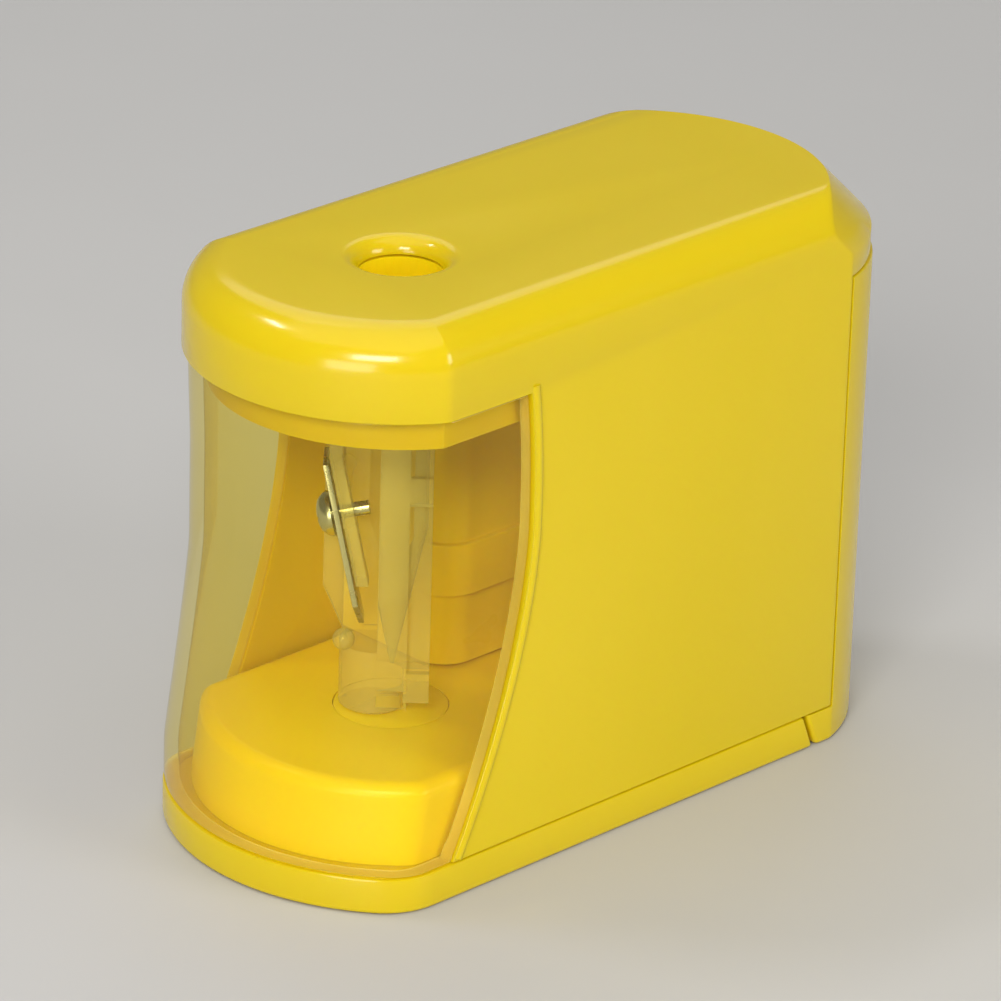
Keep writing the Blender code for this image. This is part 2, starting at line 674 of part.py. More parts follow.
def contact(name, low_x, high_x, low_z):
    """A flat contact plate."""
    return box(name, (low_x, PLATE_Y[0], low_z), (high_x, PLATE_Y[1], low_z + PLATE_T), NICKEL)


def contact_coil(name, centre, seat_z, tip_z):
    """A cone spring from its seat to the cell's flat end."""
    path = coil(centre, seat_z, tip_z, 3.5, 4.6, 2.0)
    return swept(name, path, COIL_WIRE_R, None, 5)


series_contact = contact("series_contact", -PLATE_END, PLATE_END, PLATE_LOW)
left_tip = CELL_LOW - GAP - COIL_WIRE_R
join(series_contact, contact_coil("join_series_coil", LEFT_CELL, PLATE_LOW + 0.5, left_tip))
contact("contact_positive", -PLATE_END, -3.8, PLATE_HIGH - PLATE_T)
contact_negative = contact("contact_negative", 2.6, PLATE_END, PLATE_HIGH - PLATE_T)
right_tip = RIGHT_TOP + GAP + COIL_WIRE_R
join(contact_negative, contact_coil("join_negative_coil", RIGHT_CELL, PLATE_HIGH - 0.5, right_tip))

# ---- motor --------------------------------------------------------------------------------------
CAN_R = 10.05
CAN_FLAT = 7.55
CAN_LOW = PLATFORM_TOP + GAP
CAN_TOP = CAN_LOW + 25.0
CAN_WALL = 0.8
SHAFT_R = 0.95
BEARING_R = SHAFT_R + 0.4


def can_outline(inset):
    """A circle with two flats that face the sides."""
    radius = CAN_R - inset
    flat = CAN_FLAT - inset
    reach = math.asin(flat / radius)
    points = []
    for middle in (math.pi / 2, -math.pi / 2):
        for k in range(15):
            a = middle - reach + 2 * reach * k / 14
            points.append((MOTOR_X + radius * math.cos(a), MOTOR_Y + radius * math.sin(a)))
    return points


motor_can = finish("motor_can", stacked(can_outline(0.0), CAN_LOW, CAN_TOP), ZINC)
can_hollow = stacked(can_outline(CAN_WALL), CAN_LOW + CAN_WALL, CAN_TOP + 5.0)
cut(motor_can, finish("cut_can_hollow", can_hollow))
join(motor_can, post("join_can_boss", MOTOR_AXIS, MOTOR_BOSS_R, CAN_LOW - 1.4, CAN_LOW + CAN_WALL))
cut(motor_can, post("cut_can_bearing", MOTOR_AXIS, BEARING_R, 5.0, CAN_LOW + 4.0, count=20))

cap = stacked(can_outline(CAN_WALL + GAP), CAN_TOP - 2.2, CAN_TOP + 1.4)
motor_end_cap = finish("motor_end_cap", cap, BLACK)
join(motor_end_cap, post("join_cap_boss", MOTOR_AXIS, MOTOR_BOSS_R, CAN_TOP, CAN_TOP + 2.8))
cut(motor_end_cap, post("cut_cap_bearing", MOTOR_AXIS, BEARING_R, CAN_TOP - 5.0, CAN_TOP + 2.0, count=20))

MAGNET_OUT = CAN_R - CAN_WALL - GAP
MAGNET_IN = 7.0
for side, name in ((-1, "magnet_front"), (1, "magnet_rear")):
    bm = bmesh.new()
    arc = [math.radians(-34 + 68 * k / 10) for k in range(11)]
    loop = [(MOTOR_X + MAGNET_OUT * math.sin(a), MOTOR_Y + side * MAGNET_OUT * math.cos(a)) for a in arc]
    inner = [(MOTOR_X + MAGNET_IN * math.sin(a), MOTOR_Y + side * MAGNET_IN * math.cos(a)) for a in arc]
    loop += reversed(inner)
    stack(bm, [at_height(loop, CAN_LOW + 3.0), at_height(loop, CAN_TOP - 4.5)])
    finish(name, bm, FERRITE)

WHEEL_LOW = 11.3
WHEEL_HIGH = 13.1
PINION_LOW = 10.9
PINION_HIGH = 13.5
OUTPUT_LOW = 7.2
OUTPUT_HIGH = 10.4
TO_COMPOUND = bearing(AXIS, COMPOUND_AXIS)
TO_MOTOR = bearing(COMPOUND_AXIS, MOTOR_AXIS)

CORE_R = 6.4
COMMUTATOR_R = 2.2
CORE_LOW = CAN_LOW + 3.5
CORE_HIGH = CAN_TOP - 6.0
COMMUTATOR_HIGH = CAN_TOP - 2.6
turned("motor_rotor", MOTOR_AXIS,
       [(SHAFT_R, PINION_LOW - 0.4), (SHAFT_R, CORE_LOW), (CORE_R, CORE_LOW), (CORE_R, CORE_HIGH),
        (COMMUTATOR_R, CORE_HIGH), (COMMUTATOR_R, COMMUTATOR_HIGH), (SHAFT_R, COMMUTATOR_HIGH),
        (SHAFT_R, CAN_TOP + 1.5)], STEEL)
motor_pinion = gear("motor_pinion", MOTOR_TEETH, MODULE_FINE, MOTOR_AXIS,
                    TO_MOTOR + math.pi + math.pi / MOTOR_TEETH, PINION_LOW, PINION_HIGH, BRASS)
cut(motor_pinion, post("cut_pinion_bore", MOTOR_AXIS, SHAFT_R + GAP, 5.0, 20.0, count=16))

# ---- gears --------------------------------------------------------------------------------------
compound_gear = gear("compound_gear", WHEEL_TEETH, MODULE_FINE, COMPOUND_AXIS, TO_MOTOR,
                     WHEEL_LOW, WHEEL_HIGH, ACETAL)
join(compound_gear, gear("join_small_gear", SMALL_TEETH, MODULE_COARSE, COMPOUND_AXIS,
                         TO_COMPOUND + math.pi + math.pi / SMALL_TEETH, OUTPUT_LOW, WHEEL_LOW + 0.6))
cut(compound_gear, post("cut_compound_bore", COMPOUND_AXIS, 1.1, 0.0, 20.0, count=20))
post("gear_pin", COMPOUND_AXIS, 0.75, FLOOR + 0.8, WHEEL_HIGH + 0.4, STEEL, count=16)

HUB_R = 4.5
HUB_TOP = 13.1
WELL_FLOOR = 9.6
KEY = 1.9
output_gear = gear("output_gear", OUTPUT_TEETH, MODULE_COARSE, AXIS, TO_COMPOUND,
                   OUTPUT_LOW, OUTPUT_HIGH, ACETAL)
join(output_gear, post("join_output_hub", AXIS, HUB_R, OUTPUT_LOW + 1.0, HUB_TOP))
SOCKET = KEY + GAP
socket_low = (-SOCKET, AXIS_Y - SOCKET, 0.0)
socket_high = (SOCKET, AXIS_Y + SOCKET, HUB_TOP - 0.1)
cut(output_gear, box("cut_output_key", socket_low, socket_high, turn=CARRIER_TURN, about=AXIS))
cut(output_gear, post("cut_spring_well", AXIS, 3.8, WELL_FLOOR, 20.0, count=28))

# ---- cutter carrier, turned so that its blade faces front left ------------------------------------
STUB_LOW = PLATFORM_TOP + 0.2
CARRIER_FOOT_LOW = PLATFORM_TOP - 0.9
CARRIER_FOOT_HIGH = PLATFORM_TOP - 0.1
STUB_HIGH = 24.0
COLLAR_LOW = 58.4
COLLAR_HIGH = 62.4
CONE_TIP = 19.6
CONE_HALF = math.radians(11.8)
BORE_R = 4.15
BODY_BACK = 4.6


def to_world(bm):
    """From the carrier's own axes (x from the blade to its back, y along the blade's width) to the part's."""
    spin(bm, CARRIER_TURN)
    bmesh.ops.translate(bm, verts=bm.verts, vec=(0.0, AXIS_Y, 0.0))


def carrier_box(name, low, high):
    bm = bmesh.new()
    box_between(bm, low, high)
    to_world(bm)
    return finish(name, bm)


def carrier_plate(name, outline, y_low, y_high):
    """A plate in the carrier's x-z plane."""
    bm = bmesh.new()
    stack(bm, [[(x, y, z) for x, z in outline] for y in (y_low, y_high)])
    to_world(bm)
    return finish(name, bm)


def carrier_round(name, offset, profile, count=32):
    bm = bmesh.new()
    stack(bm, [at_height(circle(r, offset, count), z) for r, z in profile])
    to_world(bm)
    return finish(name, bm)


bm = bmesh.new()
stack(bm, [at_height(circle(STUB_R, (-2.3, 0.0), 36), z) for z in (STUB_LOW, STUB_HIGH)])
to_world(bm)
cutter_carrier = finish("cutter_carrier", bm, FROSTED)
block_high = (5.0, BODY_BACK, COLLAR_LOW + 1.0)
join(cutter_carrier, carrier_box("join_carrier_block", (-1.8, -BODY_BACK, 19.0), block_high))
join(cutter_carrier, carrier_box("join_carrier_key", (-KEY, -KEY, 6.9), (KEY, KEY, 20.0)))
back = [(-5.6, 22.5), (2.0, 22.5), (2.0, COLLAR_LOW + 1.0), (-8.6, COLLAR_LOW + 1.0), (-8.8, 30.0)]
join(cutter_carrier, carrier_plate("join_carrier_back", back, 2.6, 3.9))
COLLAR_R = 8.6
collar = [(COLLAR_R, COLLAR_LOW), (COLLAR_R, COLLAR_HIGH)]
join(cutter_carrier, carrier_round("join_carrier_collar", (0.0, 0.0), collar, 40))

tube("carrier_foot", AXIS, 3.05, FOOT_R, CARRIER_FOOT_LOW, CARRIER_FOOT_HIGH, YELLOW, count=36)

lean = math.tan(CONE_HALF)
TIP_R = 0.25
bore = [(TIP_R, CONE_TIP + TIP_R / lean), (BORE_R, CONE_TIP + BORE_R / lean), (BORE_R, 70.0)]
cut(cutter_carrier, carrier_round("cut_carrier_bore", (0.0, 0.0), bore, 36))


def seat_x(z, off):
    """x of a plane that leans with the pencil's cone, off outside it."""
    return -(z - CONE_TIP) * lean - off / math.cos(CONE_HALF)


SEAT_T = 1.5
BLADE_T = 0.7
SEAT_TOP = COLLAR_LOW + 0.6
SEAT_LOW = 33.0
SEAT_BEND = 50.0
SEAT_OFF = 0.2
seat = [(seat_x(SEAT_LOW, SEAT_OFF), SEAT_LOW), (seat_x(SEAT_BEND, SEAT_OFF), SEAT_BEND),
        (-6.2, SEAT_TOP), (-8.2, SEAT_TOP),
        (seat_x(SEAT_BEND, SEAT_OFF + SEAT_T), SEAT_BEND), (seat_x(SEAT_LOW, SEAT_OFF + SEAT_T), SEAT_LOW)]
join(cutter_carrier, carrier_plate("join_blade_seat", seat, -4.4, -1.6))
bm = bmesh.new()
bmesh.ops.create_uvsphere(bm, u_segments=14, v_segments=8, radius=1.5)
bmesh.ops.translate(bm, verts=bm.verts, vec=(-5.6, -1.6, 24.4))
to_world(bm)
join(cutter_carrier, finish("join_carrier_knob", bm))

BLADE_OFF = SEAT_OFF + SEAT_T + GAP
BLADE_LOW = 26.5
BLADE_HIGH = 49.0
bm = bmesh.new()
blade_outline = [(-4.2, BLADE_LOW + 3.6), (-1.0, BLADE_LOW), (1.2, BLADE_LOW + 0.4),
                 (1.6, BLADE_HIGH), (-4.2, BLADE_HIGH)]
stack(bm, [[(seat_x(z, BLADE_OFF + out), y, z) for y, z in blade_outline] for out in (0.0, BLADE_T)])
to_world(bm)
sharpening_blade = finish("sharpening_blade", bm, STEEL)

SCREW_Z = 41.5
SCREW_Y = -1.4
lean_dir = Vector((math.cos(CONE_HALF), 0.0, math.sin(CONE_HALF)))
head_seat = Vector((seat_x(SCREW_Z, BLADE_OFF + BLADE_T + GAP), SCREW_Y, SCREW_Z))


def along_screw(name, radii, mat=None, count=24):
    """A solid of revolution about the blade screw. radii is (distance along it, radius)."""
    bm = bmesh.new()
    across = Vector((0.0, 1.0, 0.0))
    upward = lean_dir.cross(across)
    rings = []
    for distance, r in radii:
        middle = head_seat + lean_dir * distance
        rings.append([middle + (across * x + upward * y) for x, y in circle(r, (0.0, 0.0), count)])
    stack(bm, rings)
    to_world(bm)
    return finish(name, bm, mat)


SHANK_R = 0.9
SHANK_END = 4.6
domed_head = [(-1.9, 1.0), (-1.5, 2.0), (-0.8, 2.7), (0.0, 2.9)]
along_screw("blade_screw", domed_head + [(0.0, SHANK_R), (SHANK_END, SHANK_R)], STEEL)
way_r = SHANK_R + GAP
cut(sharpening_blade, along_screw("cut_blade_hole", [(-3.0, way_r), (3.0, way_r)]))
cut(cutter_carrier, along_screw("cut_screw_way", [(-3.0, way_r), (SHANK_END + 0.6, way_r)]))

# ---- press spring and switch --------------------------------------------------------------------
SPRING_R = 3.25
SPRING_WIRE_R = 0.25
spring_low = WELL_FLOOR + GAP + SPRING_WIRE_R
spring_high = CARRIER_FOOT_LOW - GAP - SPRING_WIRE_R
spring_path = coil(AXIS, spring_low, spring_high, 3.5, SPRING_R, SPRING_R)
swept("carrier_spring", spring_path, SPRING_WIRE_R, NICKEL, 5)

SWITCH_TOP = 5.4
SWITCH_HALF = 3.0
switch_body = box("switch_body", (-SWITCH_HALF, AXIS_Y - SWITCH_HALF, FLOOR + GAP),
                  (SWITCH_HALF, AXIS_Y + SWITCH_HALF, SWITCH_TOP), BLACK)
cut(switch_body, post("cut_switch_well", AXIS, 1.9, 3.2, 9.0, count=24))
turned("switch_plunger", AXIS, [(1.6, 4.4), (1.6, 6.3), (1.3, 6.6)], ACETAL, count=24)

# ---- wiring -------------------------------------------------------------------------------------
def wire(name, points, mat):
    """A wire that bends smoothly through its points."""
    spots = [Vector(p) for p in points]
    path = []
    for a, b, c, d in zip([spots[0]] + spots, spots, spots[1:], spots[2:] + [spots[-1]]):
        bend = 2 * a - 5 * b + 4 * c - d
        twist = 3 * b - a - 3 * c + d
        for t in (0.0, 0.25, 0.5, 0.75):
            path.append(0.5 * (2 * b + (c - a) * t + bend * t * t + twist * t ** 3))
    path.append(spots[-1])
    return swept(name, path, 0.6, mat, 6)


for side, name, mat in ((-1, "wire_positive", RED_WIRE), (1, "wire_negative", BLACK_WIRE)):
    route = [(MOTOR_X + side * 1.5, MOTOR_Y + 4.4, CAN_TOP + 2.2), (MOTOR_X + side * 2.2, 9.0, 46.5),
             (-7.0 + side * 4.5, 15.0, 51.0), (side * 7.0, 21.0, 57.0), (side * BATTERY_X, 26.2, 58.5)]
    wire(name, route, mat)

# ---- moving pieces keep their origins on their joints' axes ---------------------------------------
ORIGINS = {
    "output_gear": AXIS,
    "carrier_spring": AXIS,
    "cutter_carrier": AXIS,
    "carrier_foot": AXIS,
    "sharpening_blade": AXIS,
    "blade_screw": AXIS,
    "switch_plunger": AXIS,
    "compound_gear": COMPOUND_AXIS,
    "motor_rotor": MOTOR_AXIS,
    "motor_pinion": MOTOR_AXIS,
}
for name, (x, y) in ORIGINS.items():
    piece = bpy.data.objects[name]
    spot = Vector((x, y, 0.0)) * MM
    piece.data.transform(Matrix.Translation(-spot))
    piece.location = spot
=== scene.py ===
"""Looks for the pencil sharpener: fine shells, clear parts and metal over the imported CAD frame.

Plans and heights are in millimetres, in the CAD's frame: the window faces -Y and the table is z = 0.
"""

import json
import math

import bmesh
import bpy
from mathutils import Matrix, Vector


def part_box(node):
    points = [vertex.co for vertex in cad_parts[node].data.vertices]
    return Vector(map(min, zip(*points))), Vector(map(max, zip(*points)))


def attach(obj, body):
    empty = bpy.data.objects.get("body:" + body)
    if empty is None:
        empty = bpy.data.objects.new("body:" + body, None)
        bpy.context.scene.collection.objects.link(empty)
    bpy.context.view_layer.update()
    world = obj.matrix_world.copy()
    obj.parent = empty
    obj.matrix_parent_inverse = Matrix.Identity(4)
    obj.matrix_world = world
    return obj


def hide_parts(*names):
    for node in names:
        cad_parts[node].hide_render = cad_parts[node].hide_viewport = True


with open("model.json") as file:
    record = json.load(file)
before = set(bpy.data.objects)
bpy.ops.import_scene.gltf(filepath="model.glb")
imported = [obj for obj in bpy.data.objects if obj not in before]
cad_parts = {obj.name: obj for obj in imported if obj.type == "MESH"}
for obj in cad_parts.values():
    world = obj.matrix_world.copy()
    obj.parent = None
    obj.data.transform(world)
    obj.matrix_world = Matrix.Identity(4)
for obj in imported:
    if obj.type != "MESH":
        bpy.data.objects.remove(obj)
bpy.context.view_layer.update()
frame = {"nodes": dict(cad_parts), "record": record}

MM = 0.001
GAP = 0.3

# ---- sizes of the form, in millimetres -----------------------------------------------------------
HALF_W = 22.5
HEIGHT = 75.2
FOOT_LIFT = 0.1
LIP_TOP = 4.8
HEAD_LOW = 64.05
COVER_TOP = 64.4
REAR_SEAM_Y = 33.9
FOOT_SEAM_Y = 29.4
FOOT_SLANT = 0.41
EDGE_R = 5.6
SHOULDER_Z = 67.5
WALL = 2.0
FLAT_R = 2000.0
AXIS_Y = -23.15
HOLE_R = 5.2
HOLE_RIM = 2.3
PLATFORM_TOP = 15.3

# An end of the plan outline is (apex y, radius of its bow, radius of its corners).
HEAD_FRONT = (-49.96, 25.45, 2.7)
BASE_FRONT = (-50.85, 30.2, 9.0)
HOUSING_REAR = (50.35, 23.47, 2.3)
HOUSING_REAR_TOP = (42.0, 23.5, 3.0)
COVER_REAR = (50.85, 23.47, 2.3)
PLATFORM_FRONT = (-46.6, 25.0, 3.0)
PLATFORM_HALF_W = 20.0
PLATFORM_REAR_Y = 24.0
BASE_FLOOR = 2.2
COVER_T = 1.8

WINDOW_T = 1.8
WINDOW_FLANGE = 0.2
WINDOW_TOP = HEAD_LOW - GAP
WINDOW_LOW = LIP_TOP + GAP
WAIST_Z = 38.0
FLARE_Z = 28.0


# ---- materials -----------------------------------------------------------------------------------
def new_material(name):
    made = bpy.data.materials.new(name)
    made.use_nodes = True
    tree = made.node_tree
    return made, tree, tree.nodes["Principled BSDF"]


def add(tree, kind, **values):
    """Adds a node and sets its inputs by name."""
    node = tree.nodes.new(kind)
    for key, value in values.items():
        node.inputs[key.replace("_", " ")].default_value = value
    return node


def noise(tree, scale, detail=3.0, stretch=(1.0, 1.0, 1.0)):
    """Noise in object space; scale is in cycles per metre."""
    place = tree.nodes.new("ShaderNodeTexCoord")
    mapping = tree.nodes.new("ShaderNodeMapping")
    mapping.inputs["Scale"].default_value = stretch
    tree.links.new(place.outputs["Object"], mapping.inputs["Vector"])
    made = add(tree, "ShaderNodeTexNoise", Scale=scale, Detail=detail, Roughness=0.55)
    tree.links.new(mapping.outputs["Vector"], made.inputs["Vector"])
    return made.outputs["Fac"]


def spread(tree, value, low, high):
    """Maps a noise's middle range to low..high."""
    made = tree.nodes.new("ShaderNodeMapRange")
    made.inputs["From Min"].default_value = 0.3
    made.inputs["From Max"].default_value = 0.7
    made.inputs["To Min"].default_value = low
    made.inputs["To Max"].default_value = high
    tree.links.new(value, made.inputs["Value"])
    return made.outputs["Result"]


def tinted(tree, value, first, second):
    """A colour between two, by a 0..1 value."""
    made = tree.nodes.new("ShaderNodeMix")
    made.data_type = "RGBA"
    made.inputs[6].default_value = (*first, 1.0)
    made.inputs[7].default_value = (*second, 1.0)
    tree.links.new(value, made.inputs[0])
    return made.outputs[2]


def bump(tree, shader, value, strength, depth):
    """Roughens the shader's surface by a value; depth is in metres."""
    made = add(tree, "ShaderNodeBump", Strength=strength, Distance=depth)
    tree.links.new(value, made.inputs["Height"])
    tree.links.new(made.outputs["Normal"], shader.inputs["Normal"])


def moulded(name, color, rough, coat=0.0, grain=900.0, grain_depth=1.5e-6, shift=0.012, glow=0.0):
    """Moulded plastic: faint flow clouds in the colour, uneven gloss and a fine skin texture."""
    made, tree, shader = new_material(name)
    clouds = spread(tree, noise(tree, 28.0, 4.0, (1.0, 1.0, 0.4)), 0.0, 1.0)
    deep = tuple(c * (1 - shift) for c in color)
    pale = tuple(min(c * (1 + shift) + 0.004, 1.0) for c in color)
    tree.links.new(tinted(tree, clouds, deep, pale), shader.inputs["Base Color"])
    tree.links.new(spread(tree, noise(tree, 70.0), rough * 0.9, rough * 1.12), shader.inputs["Roughness"])
    shader.inputs["Coat Weight"].default_value = coat
    shader.inputs["Coat Roughness"].default_value = 0.06
    shader.inputs["IOR"].default_value = 1.46
    shader.inputs["Specular IOR Level"].default_value = 0.4
    if glow:
        shader.inputs["Subsurface Weight"].default_value = glow
        shader.inputs["Subsurface Radius"].default_value = (1.0, 0.6, 0.1)
        shader.inputs["Subsurface Scale"].default_value = 0.002
    bump(tree, shader, noise(tree, grain, 2.0), 0.25, grain_depth)
    return made


def metal(name, color, rough, stretch=(1.0, 1.0, 14.0)):
    """Ground or plated metal with drawn scratches and patches of duller plating."""
    made, tree, shader = new_material(name)
    lines = noise(tree, 420.0, 4.0, stretch)
    tree.links.new(tinted(tree, lines, tuple(c * 0.78 for c in color), color), shader.inputs["Base Color"])
    tree.links.new(spread(tree, noise(tree, 300.0), rough * 0.7, rough * 1.5), shader.inputs["Roughness"])
    shader.inputs["Metallic"].default_value = 1.0
    bump(tree, shader, lines, 0.3, 6e-6)
    return made


def clear(name, tint, edge_tint, haze, edge_haze, rough, body):
    """Clear plastic: light goes straight through, milkier at a grazing look, with gloss outside."""
    made, tree, shader = new_material(name)
    facing = add(tree, "ShaderNodeLayerWeight", Blend=0.35)
    passing = tree.nodes.new("ShaderNodeBsdfTransparent")
    tree.links.new(tinted(tree, facing.outputs["Facing"], tint, edge_tint), passing.inputs["Color"])
    shader.inputs["Base Color"].default_value = (*body, 1.0)
    tree.links.new(spread(tree, noise(tree, 90.0), rough * 0.7, rough * 1.4), shader.inputs["Roughness"])
    bump(tree, shader, noise(tree, 60.0, 2.0), 0.2, 2e-5)
    soft = tree.nodes.new("ShaderNodeMixShader")
    rise = tree.nodes.new("ShaderNodeMath")
    rise.operation = "POWER"
    rise.inputs[1].default_value = 3.0
    tree.links.new(facing.outputs["Facing"], rise.inputs[0])
    milk = tree.nodes.new("ShaderNodeMath")
    milk.operation = "MULTIPLY_ADD"
    milk.inputs[1].default_value = edge_haze
    tree.links.new(rise.outputs["Value"], milk.inputs[0])
    tree.links.new(spread(tree, noise(tree, 45.0), haze * 0.7, haze * 1.3), milk.inputs[2])
    tree.links.new(milk.outputs["Value"], soft.inputs["Fac"])
    tree.links.new(passing.outputs["BSDF"], soft.inputs[1])
    tree.links.new(shader.outputs["BSDF"], soft.inputs[2])
    gloss = add(tree, "ShaderNodeBsdfGlossy", Roughness=rough * 0.6)
    fresnel = add(tree, "ShaderNodeFresnel", IOR=1.32)
    facing_out = tree.nodes.new("ShaderNodeNewGeometry")
    outer_only = tree.nodes.new("ShaderNodeMix")
    outer_only.inputs[3].default_value = 0.0
    tree.links.new(facing_out.outputs["Backfacing"], outer_only.inputs[0])
    tree.links.new(fresnel.outputs["Fac"], outer_only.inputs[2])
    top = tree.nodes.new("ShaderNodeMixShader")
    tree.links.new(outer_only.outputs[0], top.inputs["Fac"])
    tree.links.new(soft.outputs["Shader"], top.inputs[1])
    tree.links.new(gloss.outputs["BSDF"], top.inputs[2])
    tree.links.new(top.outputs["Shader"], tree.nodes["Material Output"].inputs["Surface"])
    return made


SHELL = (0.68, 0.505, 0.002)
# The yellow below is the shell's own plastic painted far brighter: painted light for the parts inside the
# window and down the pencil hole, which the lamps leave too dark.
INSIDE_PAINTED_LIT = (0.97, 0.72, 0.004)
LOOKS = {
    "yellow_shell": moulded("shell_yellow", SHELL, 0.18, coat=0.1, glow=0.3),
    "yellow_painted_lit": moulded("yellow_painted_lit", INSIDE_PAINTED_LIT, 0.3, glow=0.3),
    "yellow_inner": moulded("inner_yellow", (0.76, 0.44, 0.016), 0.38),
    "window_clear": clear(
        "window_plastic", tint=(0.99, 0.975, 0.80), edge_tint=(0.96, 0.86, 0.36),
        haze=0.015, edge_haze=0.28, rough=0.07, body=(0.88, 0.72, 0.12),
    ),
    "window_edge": clear(
        "window_cut_edge", tint=(0.97, 0.90, 0.48), edge_tint=(0.95, 0.84, 0.34),
        haze=0.5, edge_haze=0.3, rough=0.15, body=(0.90, 0.76, 0.20),
    ),
    "carrier_clear": clear(
        "carrier_plastic", tint=(0.97, 0.95, 0.80), edge_tint=(0.84, 0.77, 0.46),
        haze=0.25, edge_haze=0.75, rough=0.14, body=(0.92, 0.83, 0.40),
    ),
    "steel": metal("steel_ground", (0.66, 0.65, 0.60), 0.24),
    "zinc_steel": metal("steel_zinc", (0.56, 0.56, 0.54), 0.38, (1.0, 1.0, 1.0)),
    "nickel_spring": metal("nickel", (0.70, 0.66, 0.58), 0.28, (3.0, 3.0, 1.0)),
    "brass": metal("brass_turned", (0.76, 0.55, 0.24), 0.30, (1.0, 1.0, 20.0)),
    "gear_acetal": moulded("acetal", (0.82, 0.82, 0.77), 0.42),
    "black_plastic": moulded("black_moulded", (0.022, 0.022, 0.024), 0.45),
    "ferrite": moulded("ferrite_sintered", (0.05, 0.05, 0.055), 0.75, grain=1600.0, grain_depth=2e-5),
    "rubber_foot": moulded("rubber", (0.035, 0.035, 0.036), 0.8, grain=1500.0, grain_depth=2e-5),
    "cell_jacket": moulded("jacket_film", (0.08, 0.20, 0.36), 0.3, coat=0.3),
    "wire_red": moulded("insulation_red", (0.50, 0.025, 0.018), 0.5),
    "wire_black": moulded("insulation_black", (0.025, 0.025, 0.026), 0.5),
}
SLOT_OF = {entry["node"]: entry["material_slot"] for entry in frame["record"]["subparts"]}
for node_name, node in frame["nodes"].items():
    node.data.materials.clear()
    # The pencil guide takes the brightened yellow: painted light down the pencil hole.
    node.data.materials.append(LOOKS["yellow_painted_lit" if node_name == "pencil_guide" else SLOT_OF[node_name]])


# ---- mesh helpers --------------------------------------------------------------------------------
def stack(bm, rings, caps=True):
    """Skins equal rings of points; closes both ends."""
    rows = [[bm.verts.new(p) for p in ring] for ring in rings]
    count = len(rows[0])
    for low, high in zip(rows, rows[1:]):
        for i in range(count):
            j = (i + 1) % count
            bm.faces.new((low[i], low[j], high[j], high[i]))
    if caps:
        bm.faces.new(rows[0][::-1])
        bm.faces.new(rows[-1])
    return rows


def at_height(points, z):
    return [(x, y, z) for x, y in points]


def stacked(outline, low, high):
    bm = bmesh.new()
    stack(bm, [at_height(outline, low), at_height(outline, high)])
    return bm


def circle(radius, centre, count):
    turns = [2 * math.pi * k / count for k in range(count)]
    return [(centre[0] + radius * math.cos(a), centre[1] + radius * math.sin(a)) for a in turns]


def end_points(half_w, end, inset, side, steps=56, corner_steps=10):
    """Points of one bowed end from left to right. side is -1 at the front, +1 at the rear."""
    apex, bow, corner = end
    centre_y = apex - side * bow
    half = half_w - inset
    bow = bow - inset
    corner = max(corner - inset, 0.5)
    reach = (half - corner) / (bow - corner)
    turn = math.asin(min(reach, 0.9999))
    drop = math.cos(turn) * (bow - corner)
    quarter = math.pi / 2
    points = []
    for k in range(corner_steps):
        a = quarter + (turn - quarter) * k / corner_steps
        points.append((-(half - corner) - corner * math.sin(a), drop + corner * math.cos(a)))
    for k in range(steps + 1):
        a = -turn + 2 * turn * k / steps
        points.append((bow * math.sin(a), bow * math.cos(a)))
    for k in range(1, corner_steps + 1):
        a = turn + (quarter - turn) * k / corner_steps
        points.append((half - corner + corner * math.sin(a), drop + corner * math.cos(a)))
    return [(x, centre_y + side * v) for x, v in points]


def plan(half_w, front, rear, inset=0.0, front_inset=None):
    """The closed plan outline, counter-clockwise seen from above."""
    ahead = inset if front_inset is None else front_inset
    ahead_pts = [(x, y + ahead - inset) for x, y in end_points(half_w, front, inset, -1)]
    return ahead_pts + end_points(half_w, rear, inset, 1)[::-1]


def flat_end(y, corner=0.6):
    return (y, FLAT_R, corner)


def mix(a, b, t):
    if isinstance(a, tuple):
        return tuple(mix(p, q, t) for p, q in zip(a, b))
    return a + (b - a) * t


def settle(name, bm):
    """A bmesh in millimetres as an object in metres."""
    bmesh.ops.remove_doubles(bm, verts=bm.verts, dist=1e-5)
    bmesh.ops.recalc_face_normals(bm, faces=bm.faces)
    bm.transform(Matrix.Scale(MM, 4))
    if bm.calc_volume(signed=True) < 0:
        bmesh.ops.reverse_faces(bm, faces=bm.faces)
    mesh = bpy.data.meshes.new(name)
    bm.to_mesh(mesh)
    bm.free()
    obj = bpy.data.objects.new(name, mesh)
    bpy.context.scene.collection.objects.link(obj)
    return obj


def shaped(obj, tools=(), round_mm=0.0, segments=3, smooth_deg=32.0, limit_deg=35.0):
    """Runs Booleans and an edge round on obj, bakes them into its mesh and removes the tools."""
    for operation, tool in tools:
        made = obj.modifiers.new(operation, "BOOLEAN")
        made.operation = operation
        made.solver = "EXACT"
        made.object = tool
    if round_mm:
        edge = obj.modifiers.new("edge", "BEVEL")
        edge.width = round_mm * MM
        edge.segments = segments
        edge.limit_method = "ANGLE"
        edge.angle_limit = math.radians(limit_deg)
        edge.use_clamp_overlap = True
    bpy.context.view_layer.update()
    done = bpy.data.meshes.new_from_object(obj.evaluated_get(bpy.context.evaluated_depsgraph_get()))
    obj.modifiers.clear()
    old = obj.data
    obj.data = done
    bpy.data.meshes.remove(old)
    for _, tool in tools:
        bpy.data.objects.remove(tool, do_unlink=True)
    obj.data.shade_smooth()
    obj.data.set_sharp_from_angle(angle=math.radians(smooth_deg))
    return obj


